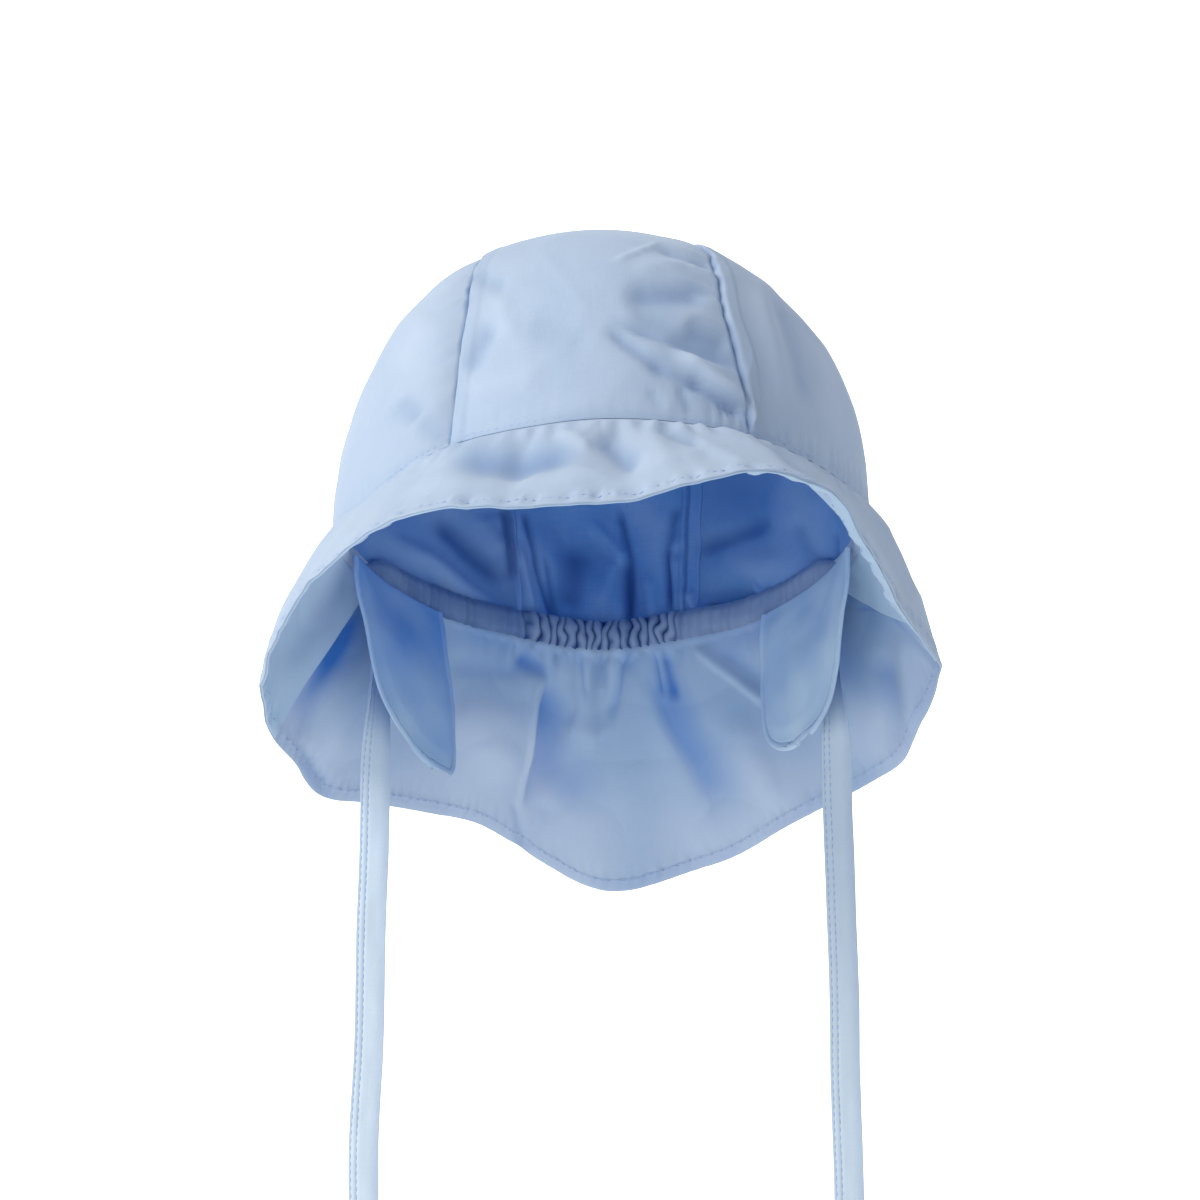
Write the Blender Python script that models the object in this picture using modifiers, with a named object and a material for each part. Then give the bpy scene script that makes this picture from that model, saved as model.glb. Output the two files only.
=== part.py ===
"""Toddler's sun hat with a brim, a neck flap, ear flaps and ties, in metres, +Z up.

The hat's front faces -Y. The origin is the centre of the head opening, where the crown, the brim and
the neck flap are sewn together. Every cloth piece is an open sheet that a Solidify modifier makes a wall.
"""

from math import asin, atan2, cos, degrees, exp, hypot, pi, radians, sin
from typing import NamedTuple

import bmesh
import bpy
from mathutils import Vector

# Crown
OPENING_HALF_WIDTH = 0.0775
OPENING_HALF_DEPTH = 0.086
OPENING_TILT = radians(13.5)
OPENING_WAVE = 0.005
CROWN_HEIGHT = 0.0865
CROWN_FULLNESS = 2.42
PANEL_HALF_FRONT = 0.0415
PANEL_HALF_TOP = 0.0312
PANEL_LEAN = 0.0024
PANEL_HALF_NAPE = 0.026
SEAM_DIP = 0.0010
SEAM_DIP_REACH = 0.006
COLUMN_EVENNESS = 0.65

# Brim and neck flap
BRIM_WIDTH = 0.046
FLAP_LENGTH = 0.077
FLAP_FOLD = 0.006
NAPE_GATHER = 0.0016
NAPE_GATHERS = 7
NAPE_HALF_ANGLE = 30.0

# Casing band inside the nape
CASING_HEIGHT = 0.0085
CASING_END = 108.0
CASING_RUCHE = 0.0007
CASING_RUCHES = 11
CASING_RUCHED_ANGLE = 24.0

# Ear flaps
EAR_FLAP_LENGTH = 0.051
EAR_FLAP_FRONT = 101.0
EAR_FLAP_BACK = 138.0
EAR_FLAP_BOW = 0.002
EAR_FLAP_ROUNDNESS = 3.0
EAR_FLAP_TIP = 0.0105

# Ties
TIE_WIDTH = 0.0088
TIE_LENGTH = 0.238
TIE_AZIMUTH_RIGHT = 114.0
TIE_AZIMUTH_LEFT = 118.0
TIE_FLARE = 0.004
TIE_TURN_START = 0.08
TIE_TURN_END = 0.30

# Walls and clearances
CLOTH = 0.0010
BRIM_CLOTH = 0.0016
EAR_FLAP_CLOTH = 0.0014
CLEARANCE = 0.0003
PANEL_CLEARANCE = 0.0005
WELD = 0.00005
COTTON_ROUGHNESS = 0.85


class Wave(NamedTuple):
    """How far the opening's rim rises above its plane, as a share of OPENING_WAVE."""

    azimuth: float
    rise: float


class Station(NamedTuple):
    """One section of the brim and neck flap, from the crown seam out to the hem."""

    azimuth: float
    length: float
    slope_top: float
    slope_hem: float


class Width(NamedTuple):
    """Half-width of the centre panel along the crown, as a share between its named widths."""

    along: float
    front: float
    nape: float


class Hang(NamedTuple):
    """How an ear flap hangs: swings as shares of its drop, and where its tip lies from front to back."""

    length: float
    inward: float
    backward: float
    tip: float


class Piece(NamedTuple):
    """One cloth piece and how its grid is laid."""

    name: str
    surface: object
    columns: int
    rows: int
    wall: float
    wall_side: int
    colour: tuple


class Fold(NamedTuple):
    """A soft fold of the neck flap that runs down and outward from the crown seam."""

    azimuth_top: float
    azimuth_hem: float
    half_angle: float
    depth: float


OPENING_WAVES = (
    Wave(-180, 0.0),
    Wave(-148, 0.6),
    Wave(-110, 0.7),
    Wave(-93, 0.3),
    Wave(-75, -0.7),
    Wave(-60, -1.2),
    Wave(-50, -1.0),
    Wave(-36, -0.4),
    Wave(-15, -0.2),
    Wave(0, 0.0),
    Wave(30, 0.12),
    Wave(60, 0.2),
    Wave(90, 1.1),
    Wave(112, 0.85),
    Wave(140, 0.5),
    Wave(162, 0.3),
)

# Length: 0 is BRIM_WIDTH and 1 is FLAP_LENGTH. Slopes are degrees below the horizontal.
STATIONS = (
    Station(-170, 0.76, 74, 60),
    Station(-158, 0.44, 74, 58),
    Station(-148, 0.42, 74, 58),
    Station(-138, 0.50, 74, 58),
    Station(-128, 0.60, 72, 60),
    Station(-118, 0.44, 66, 62),
    Station(-107, 0.34, 56, 72),
    Station(-95, 0.12, 46, 82),
    Station(-75, 0.02, 44, 84),
    Station(-60, 0.02, 42, 74),
    Station(-50, 0.01, 42, 59),
    Station(-40, 0.0, 42, 46),
    Station(-30, 0.0, 40, 34),
    Station(-20, 0.0, 39, 33),
    Station(-8, 0.0, 43, 37),
    Station(2, 0.0, 43, 37),
    Station(11, 0.0, 36, 30),
    Station(20, 0.0, 28, 24),
    Station(30, 0.0, 28, 30),
    Station(40, 0.0, 36, 54),
    Station(50, 0.0, 46, 68),
    Station(60, 0.0, 50, 77),
    Station(75, 0.02, 50, 84),
    Station(92, 0.05, 50, 80),
    Station(105, 0.18, 62, 64),
    Station(118, 0.36, 70, 58),
    Station(130, 0.42, 74, 60),
    Station(145, 0.54, 76, 58),
    Station(160, 0.82, 76, 60),
    Station(172, 0.97, 76, 60),
    Station(180, 1.00, 74, 60),
)

PANEL_WIDTHS = (
    Width(0.00, 1.00, 0.0),
    Width(0.28, 0.50, 0.0),
    Width(0.50, 0.00, 0.0),
    Width(0.75, 0.00, 0.5),
    Width(1.00, 0.00, 1.0),
)

FLAP_FOLDS = (
    Fold(-172, -166, 6, 1.0),
    Fold(-163, -150, 8, -0.7),
    Fold(-150, -130, 10, 0.6),
    Fold(-128, -113, 8, -0.6),
    Fold(171, 166, 7, 0.7),
    Fold(158, 146, 8, -0.8),
    Fold(146, 128, 9, 0.6),
    Fold(122, 110, 8, -0.5),
)

EAR_FLAP_HANGS = {1: Hang(0.94, 0.06, 0.0, 0.40), -1: Hang(1.01, 0.13, 0.0, 0.80)}

# Where the brim ends and the neck flap begins, at the crown seam and at the hem
LEFT_JOIN = (-116.0, -106.0)
RIGHT_JOIN = (116.0, 84.0)


def smoothstep(value):
    """Ease from 0 to 1."""
    value = min(1.0, max(0.0, value))
    return value * value * (3.0 - 2.0 * value)


def fade_out(value, end):
    """1 well inside an end value, easing to 0 just past it."""
    return 1.0 - smoothstep(3.0 * (value / end - 0.75))


def wrap(azimuth):
    """Bring an azimuth in degrees into -180 to 180."""
    return (azimuth + 180.0) % 360.0 - 180.0


def around(rows, azimuth, column):
    """Read one column of a table that runs round the hat, on a smooth closed curve."""
    azimuth = wrap(azimuth)
    count = len(rows)
    after = next((i for i, row in enumerate(rows) if row.azimuth > azimuth), 0)
    picked = [rows[(after + step) % count] for step in (-2, -1, 0, 1)]
    places = [wrap(row.azimuth - azimuth) for row in picked]
    values = [getattr(row, column) for row in picked]
    span = places[2] - places[1]
    slope_before = (values[2] - values[0]) / (places[2] - places[0]) * span
    slope_after = (values[3] - values[1]) / (places[3] - places[1]) * span
    t = -places[1] / span
    return (
        values[1] * (2 * t**3 - 3 * t**2 + 1)
        + slope_before * (t**3 - 2 * t**2 + t)
        + values[2] * (3 * t**2 - 2 * t**3)
        + slope_after * (t**3 - t**2)
    )


def tilt(x, y, z):
    """Turn a point of the opening's own plane so that the front is higher than the nape."""
    level, steep = cos(OPENING_TILT), sin(OPENING_TILT)
    return Vector((x, y * level + z * steep, z * level - y * steep))


def rim(azimuth, inset=0.0, lift=0.0):
    """A point of the crown's lower edge; azimuth 0 is the front and 90 the wearer's left, +X."""
    turn = radians(azimuth)
    rise = OPENING_WAVE * around(OPENING_WAVES, azimuth, "rise")
    x = (OPENING_HALF_WIDTH - inset) * sin(turn)
    y = -(OPENING_HALF_DEPTH - inset) * cos(turn)
    return tilt(x, y, lift) + Vector((0.0, 0.0, rise))


def outward(azimuth):
    """The horizontal direction away from the opening."""
    turn = radians(azimuth)
    return Vector((sin(turn) / OPENING_HALF_WIDTH, -cos(turn) / OPENING_HALF_DEPTH, 0.0)).normalized()


def nape_ripple(azimuth):
    """Ripple of the cloth where elastic gathers the nape."""
    away = abs(wrap(azimuth - 180.0))
    fade = 1.0 - smoothstep(away / NAPE_HALF_ANGLE)
    return NAPE_GATHER * fade * cos(pi * NAPE_GATHERS * away / NAPE_HALF_ANGLE)


def seam_dip(distance):
    """How far the crown sinks beside a panel seam."""
    return SEAM_DIP * (1.0 - smoothstep(distance / SEAM_DIP_REACH))


def panel_half_width(along):
    """Half-width of the centre panel, from 0 at the front of the crown to 1 at the nape."""
    rows = PANEL_WIDTHS
    after = next((i for i, row in enumerate(rows) if row.along >= along and i > 0), len(rows) - 1)
    first, second = rows[after - 1], rows[after]
    t = smoothstep((along - first.along) / (second.along - first.along))
    front = first.front + (second.front - first.front) * t
    nape = first.nape + (second.nape - first.nape) * t
    return (
        PANEL_HALF_TOP
        + front * (PANEL_HALF_FRONT - PANEL_HALF_TOP)
        + nape * (PANEL_HALF_NAPE - PANEL_HALF_TOP)
    )


def crown_surface(x, y, distance):
    """A point of the crown above plan position x, y, in the opening's plane."""
    share = min(1.0, hypot(x / OPENING_HALF_WIDTH, y / OPENING_HALF_DEPTH))
    height = (1.0 - share**CROWN_FULLNESS) ** (1.0 / CROWN_FULLNESS)
    azimuth = degrees(atan2(x / OPENING_HALF_WIDTH, -y / OPENING_HALF_DEPTH))
    rise = OPENING_WAVE * around(OPENING_WAVES, azimuth, "rise") * (1.0 - height) ** 2
    sunk = 1.0 - seam_dip(distance) * smoothstep(4.0 * height) / CROWN_HEIGHT
    gathered = outward(azimuth) * nape_ripple(azimuth) * (1.0 - height) ** 3
    point = tilt(x * sunk, y * sunk, CLEARANCE / 2.0 + CROWN_HEIGHT * height * sunk)
    return point + gathered + Vector((0.0, 0.0, rise))


def panel_seam(side, along):
    """Where the right (1) or left (-1) panel seam lies: its distance from the middle plane."""
    return panel_half_width(along) - side * PANEL_LEAN * sin(pi * along)


def centre_panel(across, along):
    """The panel that runs from the front over the top to the nape."""
    right = panel_seam(1, along) - PANEL_CLEARANCE / 2.0
    left = panel_seam(-1, along) - PANEL_CLEARANCE / 2.0
    x = right * across - left * (1.0 - across)
    reach = OPENING_HALF_DEPTH * (1.0 - (x / OPENING_HALF_WIDTH) ** 2) ** 0.5
    return crown_surface(x, -reach * cos(pi * along), min(right - x, x + left))


def seam_azimuth(side, along):
    """The azimuth, in radians, below a point of a panel seam."""
    x = panel_seam(side, along) + PANEL_CLEARANCE / 2.0
    reach = OPENING_HALF_DEPTH * (1.0 - (x / OPENING_HALF_WIDTH) ** 2) ** 0.5
    return atan2(x / OPENING_HALF_WIDTH, reach * cos(pi * along) / OPENING_HALF_DEPTH)


def even_along(side, share):
    """Spread a panel's columns evenly over both its seam and its lower edge."""
    first = seam_azimuth(side, 0.0)
    last = seam_azimuth(side, 1.0)
    low, high = 0.0, 1.0
    for _ in range(24):
        middle = (low + high) / 2.0
        turned = (seam_azimuth(side, middle) - first) / (last - first)
        if COLUMN_EVENNESS * turned + (1.0 - COLUMN_EVENNESS) * middle < share:
            low = middle
        else:
            high = middle
    return 0.0 if share <= 0.0 else 1.0 if share >= 1.0 else middle


def side_panel(side):
    """A function for the right (1) or left (-1) panel, from the opening's rim up to the seam."""

    def surface(upward, share):
        along = even_along(side, share)
        seam_x = panel_seam(side, along) + PANEL_CLEARANCE / 2.0
        turn = seam_azimuth(side, along)
        radius = min(1.0, seam_x / OPENING_HALF_WIDTH / sin(turn))
        height = (1.0 - radius**CROWN_FULLNESS) ** (1.0 / CROWN_FULLNESS)
        climb = upward * asin(min(1.0, height ** (CROWN_FULLNESS / 2.0)))
        here = cos(climb) ** (2.0 / CROWN_FULLNESS)
        x = side * OPENING_HALF_WIDTH * here * sin(turn)
        y = -OPENING_HALF_DEPTH * here * cos(turn)
        return crown_surface(x, y, abs(x) - seam_x)

    return surface


def fold_depth(azimuth, down):
    """How far the neck flap stands out of its plain shape."""
    total = 0.0
    for fold in FLAP_FOLDS:
        centre = fold.azimuth_top + (fold.azimuth_hem - fold.azimuth_top) * down
        away = wrap(azimuth - centre) / fold.half_angle
        total += fold.depth * exp(-away * away)
    return FLAP_FOLD * total * smoothstep(down * 1.6)


def skirt(azimuth, down):
    """A point of the brim or neck flap: down is 0 at the crown seam and 1 at the hem."""
    share = around(STATIONS, azimuth, "length")
    length = BRIM_WIDTH + share * (FLAP_LENGTH - BRIM_WIDTH)
    top = radians(around(STATIONS, azimuth, "slope_top"))
    hem = radians(around(STATIONS, azimuth, "slope_hem"))
    mean = top + (hem - top) * down / 2.0
    away = outward(azimuth)
    run = CLEARANCE / 2.0 + length * down
    across = away * sin(mean) + Vector((0.0, 0.0, cos(mean)))
    fall = run * (away * cos(mean) - Vector((0.0, 0.0, sin(mean))))
    gathered = away * nape_ripple(azimuth) * (1.0 - down) ** 3
    return rim(azimuth) + fall + gathered + across * fold_depth(azimuth, down)


def join_azimuth(join, down, gap):
    """The azimuth of the seam between brim and neck flap."""
    start, end = join
    return start + (end - start) * down + gap * degrees(CLEARANCE / 2.0 / OPENING_HALF_DEPTH)


def brim_surface(along, down):
    """The brim, from its left end round the front to its right end."""
    left = join_azimuth(LEFT_JOIN, down, 1.0)
    right = join_azimuth(RIGHT_JOIN, down, -1.0)
    return skirt(left + (right - left) * along, down)


def flap_surface(along, down):
    """The neck flap, from its right end round the nape to its left end."""
    right = join_azimuth(RIGHT_JOIN, down, 1.0)
    left = join_azimuth(LEFT_JOIN, down, -1.0) + 360.0
    return skirt(right + (left - right) * along, down)


def casing_surface(along, upward):
    """The elastic casing, a band inside the crown's lower edge that is ruched at the nape."""
    azimuth = CASING_END + (360.0 - 2.0 * CASING_END) * along
    away = abs(wrap(azimuth - 180.0))
    ruched = fade_out(away, CASING_RUCHED_ANGLE)
    ripple = CASING_RUCHE * ruched * (1.0 - cos(pi * CASING_RUCHES * away / CASING_RUCHED_ANGLE))
    height = CLEARANCE / 2.0 + upward * CASING_HEIGHT
    level = 1.0 - (height / CROWN_HEIGHT) ** CROWN_FULLNESS
    lean = OPENING_HALF_WIDTH * (1.0 - level ** (1.0 / CROWN_FULLNESS))
    gathers = NAPE_GATHER * fade_out(away, NAPE_HALF_ANGLE)
    return rim(azimuth, CLOTH + CLEARANCE + lean + ripple + gathers, height)


def ear_flap_surface(side):
    """A function for the right (1) or left (-1) ear flap, a tongue that hangs inside the crown seam."""
    hang = EAR_FLAP_HANGS[side]
    inset = BRIM_CLOTH + CLEARANCE + CLOTH + CLEARANCE
    front = rim(side * EAR_FLAP_FRONT, inset, -CLEARANCE)
    back = rim(side * EAR_FLAP_BACK, inset, -CLEARANCE)
    away = outward(side * (EAR_FLAP_FRONT + EAR_FLAP_BACK) / 2.0)
    tip = (EAR_FLAP_TIP / (back - front).length) ** EAR_FLAP_ROUNDNESS

    def surface(across, down):
        taper = (1.0 - (1.0 - tip) * down**EAR_FLAP_ROUNDNESS) ** (1.0 / EAR_FLAP_ROUNDNESS)
        share = hang.tip + (across - hang.tip) * taper
        sewn = rim(side * (EAR_FLAP_FRONT + (EAR_FLAP_BACK - EAR_FLAP_FRONT) * share), inset, -CLEARANCE)
        flat = front + (back - front) * share
        bow = EAR_FLAP_BOW * sin(pi * down) * (1.0 - (2.0 * across - 1.0) ** 2)
        swing = Vector((-side * hang.inward, hang.backward, -1.0)) * EAR_FLAP_LENGTH * hang.length * down
        return sewn.lerp(flat, down) + swing - away * bow

    return surface


def tie_surface(side):
    """A function for the right (1) or left (-1) tie, a flat strip that hangs from the crown seam."""
    azimuth = TIE_AZIMUTH_RIGHT if side > 0 else -TIE_AZIMUTH_LEFT
    inset = BRIM_CLOTH + CLEARANCE + CLOTH / 2.0
    start = rim(azimuth, inset, -CLEARANCE)
    span = side * degrees(TIE_WIDTH / OPENING_HALF_DEPTH)
    away = outward(azimuth)
    along_rim = Vector((-away.y, away.x, 0.0)) * side
    across_view = Vector((-side, 0.0, 0.0))

    def surface(across, down):
        turn = smoothstep((down - TIE_TURN_START) / (TIE_TURN_END - TIE_TURN_START))
        facing = along_rim.lerp(across_view, turn).normalized()
        sewn = rim(azimuth + span * (across - 0.5), inset, -CLEARANCE).z - start.z
        sewn *= 1.0 - smoothstep(down / TIE_TURN_START)
        centre = start + Vector((side * TIE_FLARE * down, 0.0, sewn - TIE_LENGTH * down))
        return centre + facing * TIE_WIDTH * (across - 0.5)

    return surface


def cotton(name, colour):
    """Plain woven cotton."""
    material = bpy.data.materials.new(name)
    material.use_nodes = True
    shader = material.node_tree.nodes["Principled BSDF"]
    shader.inputs["Base Color"].default_value = (*colour, 1.0)
    shader.inputs["Roughness"].default_value = COTTON_ROUGHNESS
    shader.inputs["Metallic"].default_value = 0.0
    return material


def cloth(collection, piece):
    """Make one cloth piece: a grid laid on its surface, then given its wall."""
    mesh = bpy.data.meshes.new(piece.name)
    shape = bmesh.new()
    bmesh.ops.create_grid(shape, x_segments=piece.columns, y_segments=piece.rows, size=0.5)
    for vertex in shape.verts:
        vertex.co = piece.surface(vertex.co.x + 0.5, vertex.co.y + 0.5)
    bmesh.ops.remove_doubles(shape, verts=shape.verts, dist=WELD)
    shape.to_mesh(mesh)
    shape.free()
    mesh.shade_smooth()
    mesh.materials.append(cotton(f"{piece.name}_cotton", piece.colour))
    item = bpy.data.objects.new(piece.name, mesh)
    collection.objects.link(item)
    wall = item.modifiers.new("Wall", "SOLIDIFY")
    wall.thickness = piece.wall
    wall.offset = piece.wall_side


def pieces():
    """List the hat's cloth pieces; wall_side is 1 where the grid's normal points into the hat."""
    crown = (0.50, 0.64, 0.85)
    yield Piece("crown_centre", centre_panel, 12, 32, CLOTH, -1, (0.52, 0.66, 0.86))
    yield Piece("crown_side_right", side_panel(1), 11, 32, CLOTH, 1, crown)
    yield Piece("crown_side_left", side_panel(-1), 11, 32, CLOTH, -1, crown)
    yield Piece("brim", brim_surface, 56, 7, BRIM_CLOTH, 1, (0.48, 0.62, 0.84))
    yield Piece("neck_flap", flap_surface, 64, 9, CLOTH, 1, (0.55, 0.68, 0.88))
    yield Piece("nape_casing", casing_surface, 90, 2, CLOTH, -1, (0.42, 0.52, 0.74))
    shaded = (0.40, 0.52, 0.78)
    light = (0.60, 0.72, 0.90)
    for side, name in ((1, "right"), (-1, "left")):
        yield Piece(f"ear_flap_{name}", ear_flap_surface(side), 10, 10, EAR_FLAP_CLOTH, side, shaded)
        yield Piece(f"tie_{name}", tie_surface(side), 2, 28, CLOTH, 0, light)


def build():
    """Model the whole hat."""
    for item in list(bpy.data.objects):
        bpy.data.objects.remove(item, do_unlink=True)
    hat = bpy.data.collections.new("flap_sun_hat")
    bpy.context.scene.collection.children.link(hat)
    for piece in pieces():
        cloth(hat, piece)


build()
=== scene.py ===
"""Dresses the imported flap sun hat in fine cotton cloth, seams and stitches, and sets up a plain studio.

Lengths are metres, azimuths are degrees from the hat's front, +Z is up and the front faces -Y.
"""

from __future__ import annotations

import logging
from collections.abc import Callable, Iterator, Sequence
from dataclasses import dataclass
from enum import Enum
from math import acos, asin, atan2, cos, degrees, exp, hypot, pi, radians, sin
from typing import NamedTuple

import bmesh
import bpy
from mathutils import Matrix, Vector, kdtree, noise

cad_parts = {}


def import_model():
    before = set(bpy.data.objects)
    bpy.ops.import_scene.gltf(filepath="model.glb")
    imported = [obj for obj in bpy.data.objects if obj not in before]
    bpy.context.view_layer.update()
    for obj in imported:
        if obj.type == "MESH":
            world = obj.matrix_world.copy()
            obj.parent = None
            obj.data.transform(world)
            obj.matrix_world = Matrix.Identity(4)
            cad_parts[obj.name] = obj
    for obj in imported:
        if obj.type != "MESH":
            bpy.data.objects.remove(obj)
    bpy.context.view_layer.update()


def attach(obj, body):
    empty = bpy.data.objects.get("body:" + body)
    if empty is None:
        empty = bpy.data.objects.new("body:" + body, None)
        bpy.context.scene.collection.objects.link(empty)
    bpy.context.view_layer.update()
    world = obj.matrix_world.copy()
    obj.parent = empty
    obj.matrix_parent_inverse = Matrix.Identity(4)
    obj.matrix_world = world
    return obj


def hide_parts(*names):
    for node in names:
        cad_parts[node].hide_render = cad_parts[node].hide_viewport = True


LOG = logging.getLogger("flap_sun_hat")
BODY = "root"

Colour = tuple[float, float, float]
# Tints painted into the cloth's colour: painted shade where the cloth is doubled, in grooves and in folds,
# painted highlights, and painted light that comes through the cloth.
TINTS = ("doubled", "groove", "bright", "deep", "pale")
TENTHS_PER_METRE = 10000
CREASE_LENGTHS = 6
WELD = 0.00002
SHORTEST_STITCH = 1e-6
FLAT_FACE = 1e-12
EDGE_ROUNDING = 0.32
SHARP_ANGLE = radians(70)


class Side(Enum):
    """The two sides of the hat, as seen from in front: +X and -X."""

    RIGHT = 1
    LEFT = -1


class Held(Enum):
    """How a sheet of cloth is held."""

    STRETCHED = "stretched"
    HUNG = "hung"


class Wave(NamedTuple):
    """How far the opening's rim rises above its plane, as a share of the named wave."""

    azimuth: float
    rise: float


class Station(NamedTuple):
    """One section of brim and neck flap: its length as a share, and its slopes in degrees."""

    azimuth: float
    length: float
    slope_top: float
    slope_hem: float


class Width(NamedTuple):
    """Half-width of the centre panel along the crown, as shares between its named widths."""

    along: float
    front: float
    nape: float


class SkirtFold(NamedTuple):
    """A soft fold that runs down and outward over the skirt, its depth a share of the named fold."""

    azimuth_top: float
    azimuth_hem: float
    half_angle: float
    depth: float


class Hang(NamedTuple):
    """How an ear flap hangs: swings as shares of its drop, and where its tip lies front to back."""

    length: float
    inward: float
    backward: float
    tip: float


class Crease(NamedTuple):
    """A crease as it shows from in front: its two ends, half-width and height, in metres.

    A skew above 0 makes it steeper on the right of its run and flatter on the left.
    """

    across_start: float
    up_start: float
    across_end: float
    up_end: float
    half_width: float
    height: float
    skew: float = 0.0


def creases_from(*rows: tuple[float, ...]) -> tuple[Crease, ...]:
    """Read creases whose lengths are written in tenths of a millimetre.

    Args:
        rows: The columns of Crease, of which the skew may be left out.

    Returns:
        The creases, in metres.
    """
    lengths = CREASE_LENGTHS
    return tuple(Crease(*(part / TENTHS_PER_METRE for part in row[:lengths]), *row[lengths:]) for row in rows)


class Pull(NamedTuple):
    """How far the crown's panel seams lie inside their even run, on the right and on the left."""

    along: float
    right: float
    left: float


class Pucker(NamedTuple):
    """How strongly a seam puckers the cloth at one azimuth, as a share of the named pucker."""

    azimuth: float
    strength: float


class Spot(NamedTuple):
    """A place on a cloth piece, with its distances from the piece's seams and edges."""

    point: Vector
    facing: Vector | None = None
    azimuth: float = 0.0
    seam: float = 1.0
    rim: float = 1.0
    edge: float = 1.0
    along: float = 0.0


def smoothstep(value: float) -> float:
    """Ease from 0 to 1."""
    value = min(1.0, max(0.0, value))
    return value * value * (3.0 - 2.0 * value)


def fade_out(value: float, end: float) -> float:
    """Give 1 well inside an end value, easing to 0 just past it."""
    return 1.0 - smoothstep(3.0 * (value / end - 0.75))


def wrap(azimuth: float) -> float:
    """Bring an azimuth in degrees into -180 to 180."""
    return (azimuth + 180.0) % 360.0 - 180.0


def bell(value: float, width: float) -> float:
    """Give a soft bell curve, 1 at 0."""
    share = value / width
    return exp(-share * share)


def ripple(along: float, wave: float, seed: float) -> float:
    """Give an uneven ripple between -1 and 1.

    Args:
        along: Distance along the seam, in metres.
        wave: Mean distance between two crests, in metres.
        seed: Number that tells one seam's ripple from another's.

    Returns:
        The height of the ripple there.
    """
    drift = noise.noise(Vector((along / wave / 2.7, seed, 0.0)))
    swell = noise.noise(Vector((along / wave / 1.3, seed + 7.0, 3.0)))
    return sin(2.0 * pi * along / wave + 5.0 * drift) * (0.6 + 0.9 * swell)


def crumple(point: Vector, size: float, seed: float) -> float:
    """Give smooth noise of a given feature size at a point, between about -1 and 1."""
    return noise.noise(point / size + Vector((seed, seed * 0.7, 0.0)))


def wrinkle(point: Vector, size: float, seed: float) -> float:
    """Give thin raised wrinkles between flat areas, from 0 to 1."""
    return (1.0 - min(1.0, 3.0 * abs(crumple(point, size, seed)))) ** 2


def around(rows: Sequence[NamedTuple], azimuth: float, column: str) -> float:
    """Read one column of a table that runs round the hat, on a smooth closed curve.

    Args:
        rows: The table, in order of azimuth.
        azimuth: Where to read it, in degrees.
        column: The name of the column.

    Returns:
        The value on the curve.
    """
    azimuth = wrap(azimuth)
    count = len(rows)
    after = next((i for i, row in enumerate(rows) if row.azimuth > azimuth), 0)
    picked = [rows[(after + step) % count] for step in (-2, -1, 0, 1)]
    places = [wrap(row.azimuth - azimuth) for row in picked]
    values = [getattr(row, column) for row in picked]
    span = places[2] - places[1]
    slope_before = (values[2] - values[0]) / (places[2] - places[0]) * span
    slope_after = (values[3] - values[1]) / (places[3] - places[1]) * span
    t = -places[1] / span
    return (
        values[1] * (2 * t**3 - 3 * t**2 + 1)
        + slope_before * (t**3 - 2 * t**2 + t)
        + values[2] * (3 * t**2 - 2 * t**3)
        + slope_after * (t**3 - t**2)
    )


def eased_between(rows: Sequence[NamedTuple], along: float) -> tuple[NamedTuple, NamedTuple, float]:
    """Find the two rows of a table on either side of a place.

    Args:
        rows: The table, in order of its column along.
        along: Where to read it.

    Returns:
        The row before, the row after and the eased share between them.
    """
    after = next((i for i, row in enumerate(rows) if row.along >= along and i > 0), len(rows) - 1)
    first, second = rows[after - 1], rows[after]
    return first, second, smoothstep((along - first.along) / (second.along - first.along))


class Level:
    """A number in a shader that adds, subtracts and multiplies like a Python float."""

    def __init__(self, maker: FinishMaker, socket: bpy.types.NodeSocket) -> None:
        """Wrap a socket.

        Args:
            maker: The maker whose material the socket belongs to.
            socket: An output socket that gives one number.
        """
        self.maker = maker
        self.socket = socket

    def __add__(self, other: Level | float) -> Level:
        """Add a number."""
        return self.maker.maths("ADD", self, other)

    def __radd__(self, other: float) -> Level:
        """Add to a number."""
        return self.maker.maths("ADD", other, self)

    def __sub__(self, other: Level | float) -> Level:
        """Take a number away."""
        return self.maker.maths("SUBTRACT", self, other)

    def __rsub__(self, other: float) -> Level:
        """Take this from a number."""
        return self.maker.maths("SUBTRACT", other, self)

    def __mul__(self, other: Level | float) -> Level:
        """Multiply by a number."""
        return self.maker.maths("MULTIPLY", self, other)

    def __rmul__(self, other: float) -> Level:
        """Multiply a number by this."""
        return self.maker.maths("MULTIPLY", other, self)

    def sine(self) -> Level:
        """Give the sine."""
        return self.maker.maths("SINE", self)

    def held(self) -> Level:
        """Keep the value between 0 and 1."""
        return self.maker.maths("MULTIPLY", self, 1.0, clamp=True)


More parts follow.
